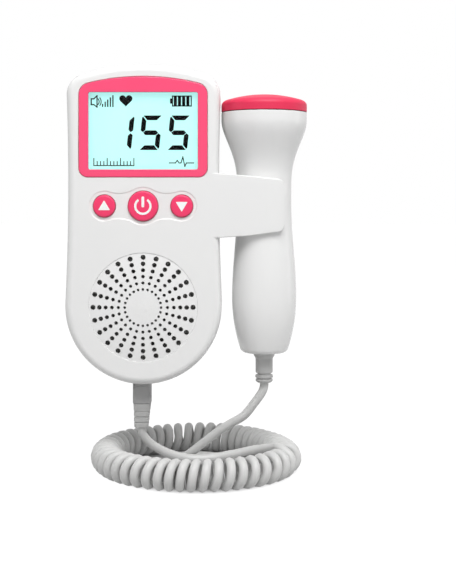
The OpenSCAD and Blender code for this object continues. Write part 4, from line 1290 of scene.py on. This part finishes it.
middle = (0.018, -0.02, -0.02)
lamp("key_box", (0.12, -0.45, 0.60), middle, 0.55, 0.4, 5.4)
lamp("right_strip", (0.85, 0.12, 0.10), middle, 0.14, 1.1, 0.8)
lamp("left_strip", (-0.85, -0.15, 0.10), middle, 0.14, 1.1, 0.7)


def white_when_seen(tree, shader, seen):
    """Shows plain white to the camera and in gloss and glass, and the shader's own light to the rest."""
    path = put(tree, "ShaderNodeLightPath").outputs
    direct = compute(tree, "MAXIMUM", path["Is Camera Ray"], path["Is Transmission Ray"])
    either = compute(tree, "MAXIMUM", direct, path["Is Glossy Ray"])
    return put(tree, "ShaderNodeMixShader", {"Fac": either, 1: shader, 2: seen}).outputs[0]


WHITE = (1, 1, 1, 1)
world = bpy.data.worlds.new("studio")
studio = bare_tree(world)
soft_light = put(studio, "ShaderNodeBackground", {"Color": WHITE, "Strength": 0.36}).outputs[0]
backdrop = put(studio, "ShaderNodeBackground", {"Color": WHITE, "Strength": 1.0}).outputs[0]
put(studio, "ShaderNodeOutputWorld", {"Surface": white_when_seen(studio, soft_light, backdrop)})
bpy.context.scene.world = world

reach, level = 6.0, (FLOOR_Z - 0.05) * MM
corners = [(x * reach, y * reach, level) for x, y in ((-1, -1), (1, -1), (1, 1), (-1, 1))]
floor_mesh = bpy.data.meshes.new("floor")
floor_mesh.from_pydata(corners, [], [(0, 1, 2, 3)])
floor = in_scene("floor", floor_mesh)
paper = bpy.data.materials.new("white_paper_floor")
tree = bare_tree(paper)
plain = put(tree, "ShaderNodeBsdfDiffuse", {"Color": (0.55, 0.55, 0.55, 1)}).outputs[0]
glow = put(tree, "ShaderNodeEmission", {"Color": WHITE, "Strength": 1.18}).outputs[0]
# Inside the cord's ring, and a little behind it, the floor is plain grey diffuse without the white glow:
# painted shade there, on top of the real shadow that it receives
place = put(tree, "ShaderNodeTexCoord").outputs["Object"]
ring_place = tuple(c * MM for c in (RING_C.x, RING_C.y + 11, FLOOR_Z))
off_ring = compute_vector(tree, "SUBTRACT", place, ring_place)[0]
oval = compute_vector(tree, "MULTIPLY", off_ring, (1.22, 1, 1))[0]
away = compute_vector(tree, "LENGTH", oval)["Value"]
fade = {"Value": away, "From Min": 0.045, "From Max": 0.054, "To Min": 0.0, "To Max": 0.85}
# Mask of the painted shade: 0 inside the oval round the ring (grey floor), rising to 0.85 outside it (white
# glow)
clear = put(tree, "ShaderNodeMapRange", fade).outputs[0]
lit = put(tree, "ShaderNodeMixShader", {"Fac": clear, 1: plain, 2: glow}).outputs[0]
put(tree, "ShaderNodeOutputMaterial", {"Surface": white_when_seen(tree, plain, lit)})
floor_mesh.materials.append(paper)

bpy.context.scene.view_settings.view_transform = "Standard"
